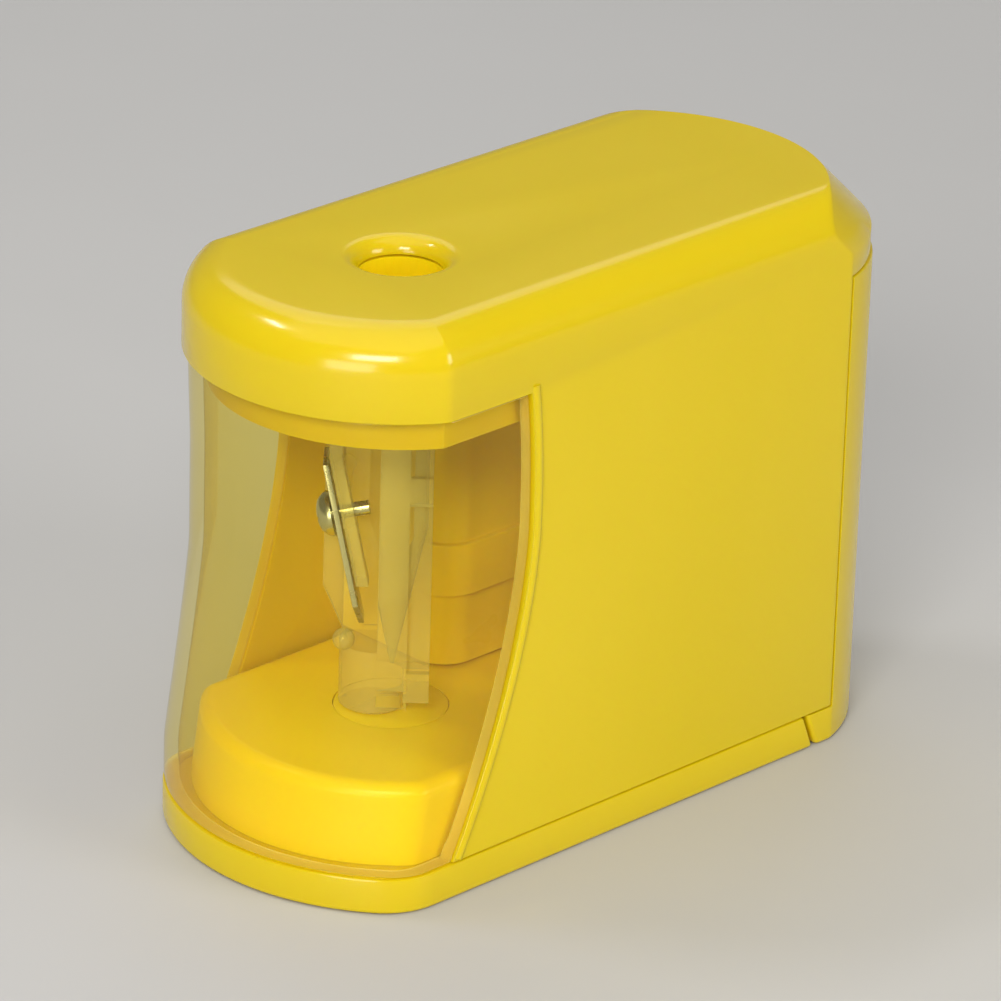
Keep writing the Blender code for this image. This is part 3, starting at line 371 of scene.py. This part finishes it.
def dress(obj, slot, body, *nodes, look=None):
    """Gives a piece its finish and its body, and hides the CAD nodes it stands for."""
    obj.data.materials.clear()
    obj.data.materials.append(LOOKS[look or slot])
    if nodes:
        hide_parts(*nodes)
    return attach(obj, body)


def box(name, low, high):
    corners = [(low[0], low[1]), (high[0], low[1]), (high[0], high[1]), (low[0], high[1])]
    return settle(name, stacked(corners, low[2], high[2]))


def post(name, centre, radius, low, high, count=64):
    return settle(name, stacked(circle(radius, centre, count), low, high))


def slab_yz(name, outline, half_x):
    """A prism along X from (y, z) points."""
    bm = bmesh.new()
    stack(bm, [[(side * half_x, y, z) for y, z in outline] for side in (-1, 1)])
    return settle(name, bm)


# ---- upper housing -------------------------------------------------------------------------------
def housing_ring(z, wall=0.0):
    radius = EDGE_R - wall
    rise = min(max(z - (HEIGHT - EDGE_R), 0.0), radius)
    drawn = radius - math.sqrt(max(radius * radius - rise * rise, 0.0)) + wall
    slope = min(max((z + wall - SHOULDER_Z) / (HEIGHT - SHOULDER_Z), 0.0), 1.0)
    apex, bow, corner = mix(HOUSING_REAR, HOUSING_REAR_TOP, slope)
    rear = (apex + drawn - wall, bow + drawn - wall, corner + drawn - wall)
    return at_height(plan(HALF_W, HEAD_FRONT, rear, drawn), z)


def housing_levels(wall, steps=16):
    start = HEIGHT - EDGE_R
    radius = EDGE_R - wall
    curve = [start + radius * math.sin(math.pi / 2 * k / steps) for k in range(steps + 1)]
    return sorted({round(z, 4) for z in [WINDOW_LOW, SHOULDER_Z - wall] + curve})


def opening_edge(z):
    """y of the side wall's front edge at height z."""
    if z > 50.0:
        return -21.7 - 0.9 * ((z - 50.0) / 14.0) ** 2
    drop = min(max((46.8 - z) / 42.8, 0.0), 1.1)
    return -21.7 - 12.7 * drop ** 1.7


def front_of_edge(shift, low, high, steps=48):
    heights = [low + (high - low) * k / steps for k in range(steps + 1)]
    return [(-70.0, low)] + [(opening_edge(z) + shift, z) for z in heights] + [(-70.0, high)]


SKIRT_LOW = 59.5
SKIRT_NEAR = 2.45
SKIRT_FAR = 3.9
SKIRT_FRONT_EXTRA = 0.9


def skirt(name, low, near, near_front):
    high = HEAD_LOW + 3.0
    inside = plan(HALF_W, HEAD_FRONT, flat_end(-10.0), SKIRT_FAR, SKIRT_FAR + SKIRT_FRONT_EXTRA)
    hollow = settle(name + "_hollow", stacked(inside, low - 1.0, high + 1.0))
    body = settle(name, stacked(plan(HALF_W, HEAD_FRONT, flat_end(-18.5), near, near_front), low, high))
    return shaped(body, [("DIFFERENCE", hollow)])


bm = bmesh.new()
rows = stack(bm, [housing_ring(z) for z in housing_levels(0.0)], caps=False)
inner_rows = stack(bm, [housing_ring(z, WALL) for z in housing_levels(WALL)], caps=False)
bm.faces.new(rows[-1])
bm.faces.new(inner_rows[-1])
for i in range(len(rows[0])):
    j = (i + 1) % len(rows[0])
    bm.faces.new((rows[0][i], inner_rows[0][i], inner_rows[0][j], rows[0][j]))
housing = settle("housing_shell", bm)

rim = [(HOLE_R, 60.0)]
for k in range(13):
    lift = math.pi / 2 * k / 12
    rim.append((HOLE_R + HOLE_RIM * (1 - math.cos(lift)), HEIGHT - HOLE_RIM + HOLE_RIM * math.sin(lift)))
rim.append((HOLE_R + HOLE_RIM, HEIGHT + 2.0))
bm = bmesh.new()
stack(bm, [at_height(circle(r, (0.0, AXIS_Y), 96), z) for r, z in rim])
hole = settle("hole_tool", bm)
housing = shaped(
    housing,
    [
        ("DIFFERENCE", slab_yz("window_tool", front_of_edge(0.0, 2.0, HEAD_LOW), 40.0)),
        ("DIFFERENCE", box("rear_tool", (-40, REAR_SEAM_Y, 0), (40, 80, COVER_TOP))),
        ("UNION", skirt("skirt_low", SKIRT_LOW, SKIRT_NEAR, SKIRT_NEAR + SKIRT_FRONT_EXTRA)),
        ("UNION", skirt("skirt_ledge", HEAD_LOW, 1.2, 1.2)),
        ("DIFFERENCE", hole),
    ],
    round_mm=0.35,
    limit_deg=50.0,
)
dress(housing, "yellow_shell", "frame", "upper_housing")


def strip(name, path, section, slot, body):
    """A bar of the given cross-section along a path that lies on the side wall."""
    bm = bmesh.new()
    rings = []
    points = [Vector(p) for p in path]
    for i, point in enumerate(points):
        ahead = (points[min(i + 1, len(points) - 1)] - points[max(i - 1, 0)]).normalized()
        out = Vector((1.0 if point.x > 0 else -1.0, 0.0, 0.0))
        across = ahead.cross(out).normalized()
        rings.append([point + out * u + across * v for u, v in section])
    stack(bm, rings)
    return dress(shaped(settle(name, bm), smooth_deg=50.0), slot, body)


BEAD_R = 0.75
for side in (-1, 1):
    heights = [WINDOW_LOW + 0.2 + (HEAD_LOW - WINDOW_LOW + 0.6) * k / 48 for k in range(49)]
    line = [(side * (HALF_W - 0.42), opening_edge(z) + BEAD_R, z) for z in heights]
    strip(f"opening_bead_{side + 2}", line, circle(BEAD_R, (0.0, 0.0), 16), "yellow_shell", "frame")

# ---- base plate ----------------------------------------------------------------------------------
BASE_ROUND = 0.6


LIP_IN = 0.55


def seam_y(z):
    """y of the slanted joint between the base plate and the rear cover's foot."""
    return FOOT_SEAM_Y + FOOT_SLANT * max(LIP_TOP - z, 0.0)


def rounded_foot(ends_at, top):
    """A body with a rounded lower edge and a thin lip on top that fills most of the seam above it."""
    levels = []
    for k in range(7):
        lift = math.pi / 2 * k / 6
        levels.append((FOOT_LIFT + BASE_ROUND * (1 - math.cos(lift)), BASE_ROUND * (1 - math.sin(lift))))
    levels += [(LIP_TOP - 0.3, 0.0)] * (top > LIP_TOP)
    levels += [(top - 0.3, 0.0), (top - 0.09, 0.09), (top, 0.25), (top, LIP_IN), (top + GAP - 0.02, LIP_IN)]
    bm = bmesh.new()
    stack(bm, [at_height(plan(HALF_W, *ends_at(z), inset), z) for z, inset in levels])
    return bm


base = settle("base_shell", rounded_foot(lambda z: (BASE_FRONT, flat_end(seam_y(z) - GAP)), LIP_TOP))
BASE_RIM = 5.6
SCREW_SINK_R = 3.1
SCREW_WAY_R = 1.6
FOOT_POCKET_R = 4.1
inside = plan(HALF_W, BASE_FRONT, flat_end(FOOT_SEAM_Y - GAP), BASE_RIM)
pocket = settle("pocket_tool", stacked(inside, BASE_FLOOR, 20.0))
tools = [("DIFFERENCE", pocket)]
SCREWS = [(side * x, y) for x, y in ((14.5, -36.5), (18.2, 20.0)) for side in (-1, 1)]
FEET = [(x, y) for y in (-29.0, 12.0) for x in (-13.0, 13.0)]
for k, spot in enumerate(SCREWS):
    tools.append(("DIFFERENCE", post(f"sink_tool_{k}", spot, SCREW_SINK_R, -1.0, 2.6)))
    tools.append(("DIFFERENCE", post(f"way_tool_{k}", spot, SCREW_WAY_R, -1.0, 8.0)))
for k, spot in enumerate(FEET):
    tools.append(("DIFFERENCE", post(f"foot_tool_{k}", spot, FOOT_POCKET_R, -1.0, 1.5)))
dress(shaped(base, tools), "yellow_shell", "frame", "base_plate")

# ---- rear battery cover --------------------------------------------------------------------------
cover = settle("cover_shell", rounded_foot(lambda z: (flat_end(seam_y(z)), COVER_REAR), COVER_TOP - GAP))
inside = plan(HALF_W, flat_end(10.0), COVER_REAR, COVER_T)
hollow = settle("cover_tool", stacked(inside, BASE_FLOOR, COVER_TOP - GAP - 1.6))
front_cut = box("cover_front_tool", (-40, 0, LIP_TOP), (40, REAR_SEAM_Y + GAP, 80))
tools = [("DIFFERENCE", front_cut), ("DIFFERENCE", hollow)]
for side in (-1, 1):
    low_x, high_x = sorted((side * (HALF_W - LIP_IN), side * (HALF_W - 1.7)))
    tongue = box(f"tongue_tool_{side + 2}", (low_x, REAR_SEAM_Y + 0.02, LIP_TOP + 0.5), (high_x, 35.5, 63.0))
    tools.append(("UNION", tongue))
dress(
    shaped(cover, tools, round_mm=0.15, limit_deg=50.0),
    "yellow_shell",
    "cover",
    "rear_cover",
)

# ---- gearbox cover -------------------------------------------------------------------------------
PLATFORM_ROUND = 1.9
CARRIER_FOOT_R = 7.2
FLARE = 1.1
PLATFORM_WALL = 1.5
MOTOR_WAY_R = 3.5
BOSS_WAY_R = 3.7
flared = (PLATFORM_FRONT[0] - FLARE, PLATFORM_FRONT[1] + 0.4, PLATFORM_FRONT[2])
rings = [at_height(plan(PLATFORM_HALF_W, flared, flat_end(PLATFORM_REAR_Y)), WINDOW_LOW)]
for k in range(13):
    lift = math.pi / 2 * k / 12
    drawn = PLATFORM_ROUND * (1 - math.cos(lift))
    rear = flat_end(PLATFORM_REAR_Y, 0.6 + drawn)
    z = PLATFORM_TOP - PLATFORM_ROUND + PLATFORM_ROUND * math.sin(lift)
    rings.append(at_height(plan(PLATFORM_HALF_W, PLATFORM_FRONT, rear, drawn), z))
bm = bmesh.new()
stack(bm, rings)
platform = settle("platform_shell", bm)
inside = plan(PLATFORM_HALF_W, PLATFORM_FRONT, flat_end(PLATFORM_REAR_Y), PLATFORM_WALL)
under = stacked(inside, 0.0, PLATFORM_TOP - PLATFORM_WALL)
motor_low, motor_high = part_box("motor_rotor")
motor_axis = ((motor_low.x + motor_high.x) / 2 / MM, (motor_low.y + motor_high.y) / 2 / MM)
tools = [
    ("DIFFERENCE", settle("under_tool", under)),
    ("DIFFERENCE", post("foot_way_tool", (0.0, AXIS_Y), CARRIER_FOOT_R + 0.1, 8.0, 30.0)),
    ("DIFFERENCE", post("motor_tool", motor_axis, MOTOR_WAY_R, 8.0, 30.0)),
]
for side in (-1, 1):
    tools.append(("DIFFERENCE", post(f"boss_tool_{side + 2}", (side * 18.2, 20.0), BOSS_WAY_R, 0.0, 30.0)))
# The platform takes the brightened yellow: painted light inside the window.
dress(shaped(platform, tools), "yellow_shell", "frame", "gearbox_cover", look="yellow_painted_lit")

# ---- chamber wall --------------------------------------------------------------------------------
wall_low, wall_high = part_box("chamber_wall")
WALL_T = 1.5
WALL_X = -1.8
WALL_Y = -12.4
REAR_WALL_Y = 10.5
WALL_SIDE = 20.2
BAND_PROUD = 0.9
BAND = (25.4, 32.4)


def wall_line(out, start_x, end=None, corner_r=4.5, steps=20):
    x = WALL_X + out
    y = WALL_Y - out
    r = corner_r + out
    points = [(start_x, y)]
    for k in range(steps + 1):
        a = -math.pi / 2 + math.pi / 2 * k / steps
        points.append((x - r + r * math.cos(a), y + r + r * math.sin(a)))
    if end is None:
        return points + [(x, REAR_WALL_Y - out), (WALL_SIDE, REAR_WALL_Y - out)]
    return points + [(x, end)]


outline = wall_line(0.0, -WALL_SIDE) + wall_line(-WALL_T, -WALL_SIDE)[::-1]
wall = settle("chamber_wall_shell", stacked(outline, wall_low.z / MM, wall_high.z / MM))
band_far = wall_line(-WALL_T / 2, -6.5, REAR_WALL_Y - 2.5)
outline = wall_line(BAND_PROUD, -6.5, REAR_WALL_Y - 2.5) + band_far[::-1]
band = settle("band_tool", stacked(outline, *BAND))
wall = shaped(wall, [("UNION", band)], round_mm=0.25, limit_deg=50.0)
# The chamber wall takes the brightened yellow: painted light inside the window.
dress(wall, "yellow_shell", "frame", "chamber_wall", look="yellow_painted_lit")


# ---- shavings window -----------------------------------------------------------------------------
def window_plan(z, inset=0.0):
    """A waist below the head that flares out to the lip."""
    down = min(max((WAIST_Z - z) / FLARE_Z, 0.0), 1.0) ** 1.15
    recess = 0.75 + 0.4 * min(max((WINDOW_TOP - z) / 12.0, 0.0), 1.0)
    upper = (HEAD_FRONT[0] + recess, HEAD_FRONT[1] - recess, HEAD_FRONT[2])
    lower = (BASE_FRONT[0] + 0.15, BASE_FRONT[1] - 0.15, 6.5)
    half = mix(HALF_W - 0.35, HALF_W - 0.15, down)
    return plan(half, mix(upper, lower, down), flat_end(-10.0), inset)


LEVELS = 40
heights = [WINDOW_LOW + (WINDOW_TOP - WINDOW_LOW) * k / LEVELS for k in range(LEVELS + 1)]
bm = bmesh.new()
stack(bm, [at_height(window_plan(z), z) for z in heights])
window = settle("window_shell", bm)
bm = bmesh.new()
rings = [at_height(window_plan(heights[0], WINDOW_T + WINDOW_FLANGE), WINDOW_LOW - 2.0),
         at_height(window_plan(heights[0], WINDOW_T + WINDOW_FLANGE), WINDOW_LOW + 1.6),
         at_height(window_plan(heights[1], WINDOW_T), WINDOW_LOW + 2.4)]
rings += [at_height(window_plan(z, WINDOW_T), z) for z in heights[2:-1]]
rings.append(at_height(window_plan(WINDOW_TOP, WINDOW_T), WINDOW_TOP + 2.0))
stack(bm, rings)
hollow = settle("window_hollow_tool", bm)
edge = front_of_edge(-GAP, 0.0, 70.0)[1:-1]
behind = slab_yz("window_back_tool", [(70.0, 0.0)] + edge + [(70.0, 70.0)], 40.0)
window = shaped(window, [("DIFFERENCE", hollow), ("DIFFERENCE", behind)], round_mm=0.2, limit_deg=50.0)
dress(window, "window_clear", "window", "shavings_window")
window.data.materials.append(LOOKS["window_edge"])
for face in window.data.polygons:
    upright = abs(face.normal.z) > 0.7
    at_end = abs(face.center.z / MM - WINDOW_LOW) < 0.3 or abs(face.center.z / MM - WINDOW_TOP) < 0.3
    at_back = abs(face.center.y / MM - opening_edge(face.center.z / MM)) < 0.7 and abs(face.normal.x) < 0.6
    if at_back or (upright and at_end):
        face.material_index = 1

# ---- cutter carrier, in its own axes: x across it and y away from its near face ---------------------
CARRIER_TURN = math.radians(45)
CONE_TIP = 19.6
CONE_HALF = math.radians(11.8)
BORE_R = 4.15
LEAN = math.tan(CONE_HALF)


def turned_in(bm):
    bmesh.ops.rotate(bm, verts=bm.verts, cent=(0, 0, 0), matrix=Matrix.Rotation(CARRIER_TURN, 3, "Z"))
    bmesh.ops.translate(bm, verts=bm.verts, vec=(0.0, AXIS_Y, 0.0))


def carrier_box(name, low, high):
    corners = [(low[0], low[1]), (high[0], low[1]), (high[0], high[1]), (low[0], high[1])]
    bm = stacked(corners, low[2], high[2])
    turned_in(bm)
    return settle(name, bm)


def carrier_plate(name, outline, y_low, y_high):
    bm = bmesh.new()
    stack(bm, [[(x, y, z) for x, z in outline] for y in (y_low, y_high)])
    turned_in(bm)
    return settle(name, bm)


def carrier_round(name, offset, profile, count=64):
    bm = bmesh.new()
    stack(bm, [at_height(circle(r, offset, count), z) for r, z in profile])
    turned_in(bm)
    return settle(name, bm)


def seat_x(z, off):
    """x of a plane that leans with the pencil's cone, off outside it."""
    return -(z - CONE_TIP) * LEAN - off / math.cos(CONE_HALF)


carrier = carrier_round("carrier_moulding", (-2.3, 0.0), [(4.0, 15.5), (4.3, 15.8), (4.3, 24.0)])
cone_top = CONE_TIP + BORE_R / LEAN
BACK_OUTLINE = [(-5.6, 22.5), (2.0, 22.5), (2.0, 60.0), (-8.6, 60.0), (-8.8, 30.0)]
carrier = shaped(
    carrier,
    [
        ("UNION", carrier_box("block_tool", (-1.8, -4.6, 19.0), (1.9, 4.6, 60.0))),
        ("UNION", carrier_box("bar_tool", (1.7, -3.4, 19.0), (4.7, 4.6, 60.0))),
        ("UNION", carrier_box("tab_high_tool", (1.5, -4.4, 43.9), (4.7, -3.0, 47.6))),
        ("UNION", carrier_box("tab_low_tool", (1.5, -4.4, 17.4), (4.7, 2.0, 21.3))),
        ("UNION", carrier_plate("back_tool", BACK_OUTLINE, 2.6, 3.9)),
        ("UNION", carrier_round("collar_tool", (0.0, 0.0), [(8.6, 58.4), (8.6, 62.4)])),
        ("UNION", carrier_box("key_tool", (-1.9, -1.9, 6.9), (1.9, 1.9, 20.0))),
        ("DIFFERENCE", carrier_round("bore_tool", (0.0, 0.0),
                                     [(0.25, CONE_TIP + 0.25 / LEAN), (BORE_R, cone_top), (BORE_R, 70.0)])),
        ("UNION", carrier_plate(
            "seat_tool",
            [(seat_x(33.0, 0.2), 33.0), (seat_x(50.0, 0.2), 50.0), (-6.2, 59.0), (-8.2, 59.0),
             (seat_x(50.0, 1.7), 50.0), (seat_x(33.0, 1.7), 33.0)], -4.4, -1.6)),
    ],
    round_mm=0.25,
    limit_deg=50.0,
)
dress(carrier, "carrier_clear", "carrier", "cutter_carrier")
disc_z = (PLATFORM_TOP - 0.9, PLATFORM_TOP - 0.02)
foot = post("carrier_foot_disc", (0.0, AXIS_Y), CARRIER_FOOT_R, *disc_z, count=96)
# The foot disc takes the brightened yellow: painted light inside the window.
dress(shaped(foot, round_mm=0.12), "yellow_shell", "carrier", "carrier_foot", look="yellow_painted_lit")
KNOB_R = 1.4
KNOB_AT = (-6.0, -1.6, 24.6)
bm = bmesh.new()
bmesh.ops.create_uvsphere(bm, u_segments=32, v_segments=20, radius=KNOB_R)
bmesh.ops.translate(bm, verts=bm.verts, vec=KNOB_AT)
turned_in(bm)
dress(shaped(settle("carrier_knob", bm)), "carrier_clear", "carrier")

# ---- blade and its screw -------------------------------------------------------------------------
BLADE_OFF = 2.0
BLADE_T = 0.7
BLADE_LOW = 26.5
BLADE_HIGH = 49.0
bm = bmesh.new()
profile = [(-4.2, BLADE_LOW + 3.6), (-1.0, BLADE_LOW), (1.2, BLADE_LOW + 0.4),
           (1.6, BLADE_HIGH), (-4.2, BLADE_HIGH)]
stack(bm, [[(seat_x(z, BLADE_OFF + out), y, z) for y, z in profile] for out in (0.0, BLADE_T)])
turned_in(bm)
blade = settle("blade_plate", bm)

SCREW_Z = 41.5
SCREW_Y = -1.4
lean_dir = Vector((math.cos(CONE_HALF), 0.0, math.sin(CONE_HALF)))
head_seat = Vector((seat_x(SCREW_Z, BLADE_OFF + BLADE_T + GAP), SCREW_Y, SCREW_Z))
across = Vector((0.0, 1.0, 0.0))
upward = lean_dir.cross(across)


def along_screw(name, radii, count=48):
    bm = bmesh.new()
    rings = []
    for distance, r in radii:
        middle = head_seat + lean_dir * distance
        angles = [2 * math.pi * k / count for k in range(count)]
        rings.append([middle + (across * math.cos(a) + upward * math.sin(a)) * r for a in angles])
    stack(bm, rings)
    turned_in(bm)
    return settle(name, bm)


def cross_slot(name, half_long, half_wide):
    """A slot across the screw's head, its length along across."""
    bm = bmesh.new()
    rings = []
    for distance in (-3.0, -1.0):
        middle = head_seat + lean_dir * distance
        rings.append([middle + across * u + upward * v
                      for u, v in ((-half_long, -half_wide), (half_long, -half_wide), (half_long, half_wide),
                                   (-half_long, half_wide))])
    stack(bm, rings)
    turned_in(bm)
    return settle(name, bm)


way = along_screw("blade_hole_tool", [(-3.0, 1.2), (3.0, 1.2)])
blade = shaped(blade, [("DIFFERENCE", way)], round_mm=0.12, segments=2, limit_deg=50.0)
dress(blade, "steel", "carrier", "sharpening_blade")
head = [(-1.9, 0.9), (-1.82, 1.3), (-1.6, 1.9), (-1.25, 2.35), (-0.8, 2.7), (-0.4, 2.88), (0.0, 2.9),
        (0.0, 0.9), (4.6, 0.9)]
screw = along_screw("blade_screw_turned", head)
SLOT_LONG = 1.7
SLOT_WIDE = 0.32
slots = [
    ("DIFFERENCE", cross_slot("slot_a_tool", SLOT_LONG, SLOT_WIDE)),
    ("DIFFERENCE", cross_slot("slot_b_tool", SLOT_WIDE, SLOT_LONG)),
]
screw = shaped(screw, slots)
dress(screw, "steel", "carrier", "blade_screw")

# ---- stage: floor, light and camera --------------------------------------------------------------
floor_mesh = bpy.data.meshes.new("floor")
bm = bmesh.new()
bmesh.ops.create_grid(bm, x_segments=1, y_segments=1, size=3.0)
bm.to_mesh(floor_mesh)
bm.free()
floor = bpy.data.objects.new("floor", floor_mesh)
bpy.context.scene.collection.objects.link(floor)
floor_mat, floor_tree, floor_shader = new_material("floor_pale")
floor_color = tinted(floor_tree, noise(floor_tree, 9.0), (0.52, 0.515, 0.512), (0.56, 0.555, 0.552))
floor_tree.links.new(floor_color, floor_shader.inputs["Base Color"])
floor_shader.inputs["Roughness"].default_value = 0.6
floor.data.materials.append(floor_mat)


def area(name, spot, aim, size, power, color=(1.0, 1.0, 1.0)):
    data = bpy.data.lights.new(name, "AREA")
    data.shape = "RECTANGLE"
    data.size, data.size_y = size
    data.energy = power
    data.color = color
    lamp = bpy.data.objects.new(name, data)
    lamp.location = spot
    lamp.rotation_mode = "QUATERNION"
    lamp.rotation_quaternion = (Vector(aim) - Vector(spot)).to_track_quat("-Z", "Y")
    bpy.context.scene.collection.objects.link(lamp)


MIDDLE = (0.0, 0.0, 0.04)
area("key", (-0.54, -0.38, 0.92), MIDDLE, (0.22, 0.06), 1.6, (1.0, 0.99, 0.96))
area("fill", (0.58, -0.80, 0.66), MIDDLE, (0.45, 0.22), 6.6, (1.0, 0.985, 0.95))
area("low", (0.45, -1.0, 0.22), MIDDLE, (0.5, 0.4), 3.6, (1.0, 0.985, 0.95))
area("top", (0.05, -0.15, 1.10), MIDDLE, (1.2, 1.2), 4.0, (1.0, 0.99, 0.97))
area("back", (-0.62, 0.50, 0.95), MIDDLE, (0.8, 0.8), 2.2)
area("side", (1.0, 0.35, 0.45), MIDDLE, (0.5, 0.35), 4.4, (1.0, 0.98, 0.93))

world = bpy.data.worlds.new("studio")
world.use_nodes = True
world.node_tree.nodes["Background"].inputs["Color"].default_value = (0.96, 0.95, 0.92, 1.0)
world.node_tree.nodes["Background"].inputs["Strength"].default_value = 0.21
bpy.context.scene.world = world
bpy.context.scene.view_settings.view_transform = "Standard"

AZIMUTH = math.radians(44.7376)
ELEVATION = math.radians(23.6168)
ROLL = 0.0296
level = math.cos(ELEVATION)
back = Vector((math.sin(AZIMUTH) * level, -math.cos(AZIMUTH) * level, math.sin(ELEVATION)))
right = Vector((math.cos(AZIMUTH), math.sin(AZIMUTH), 0.0))
above = back.cross(right)
cam_x = right * math.cos(ROLL) + above * math.sin(ROLL)
cam_y = above * math.cos(ROLL) - right * math.sin(ROLL)
cam_data = bpy.data.cameras.new("camera")
cam_data.sensor_width = 36.0
cam_data.lens = 239.5
cam_data.clip_start = 0.01
camera = bpy.data.objects.new("camera", cam_data)
placed = Matrix((cam_x, cam_y, back)).transposed().to_4x4()
placed.translation = Vector((0.5367, -0.54645, 0.37088))
camera.matrix_world = placed
bpy.context.scene.collection.objects.link(camera)
bpy.context.scene.camera = camera
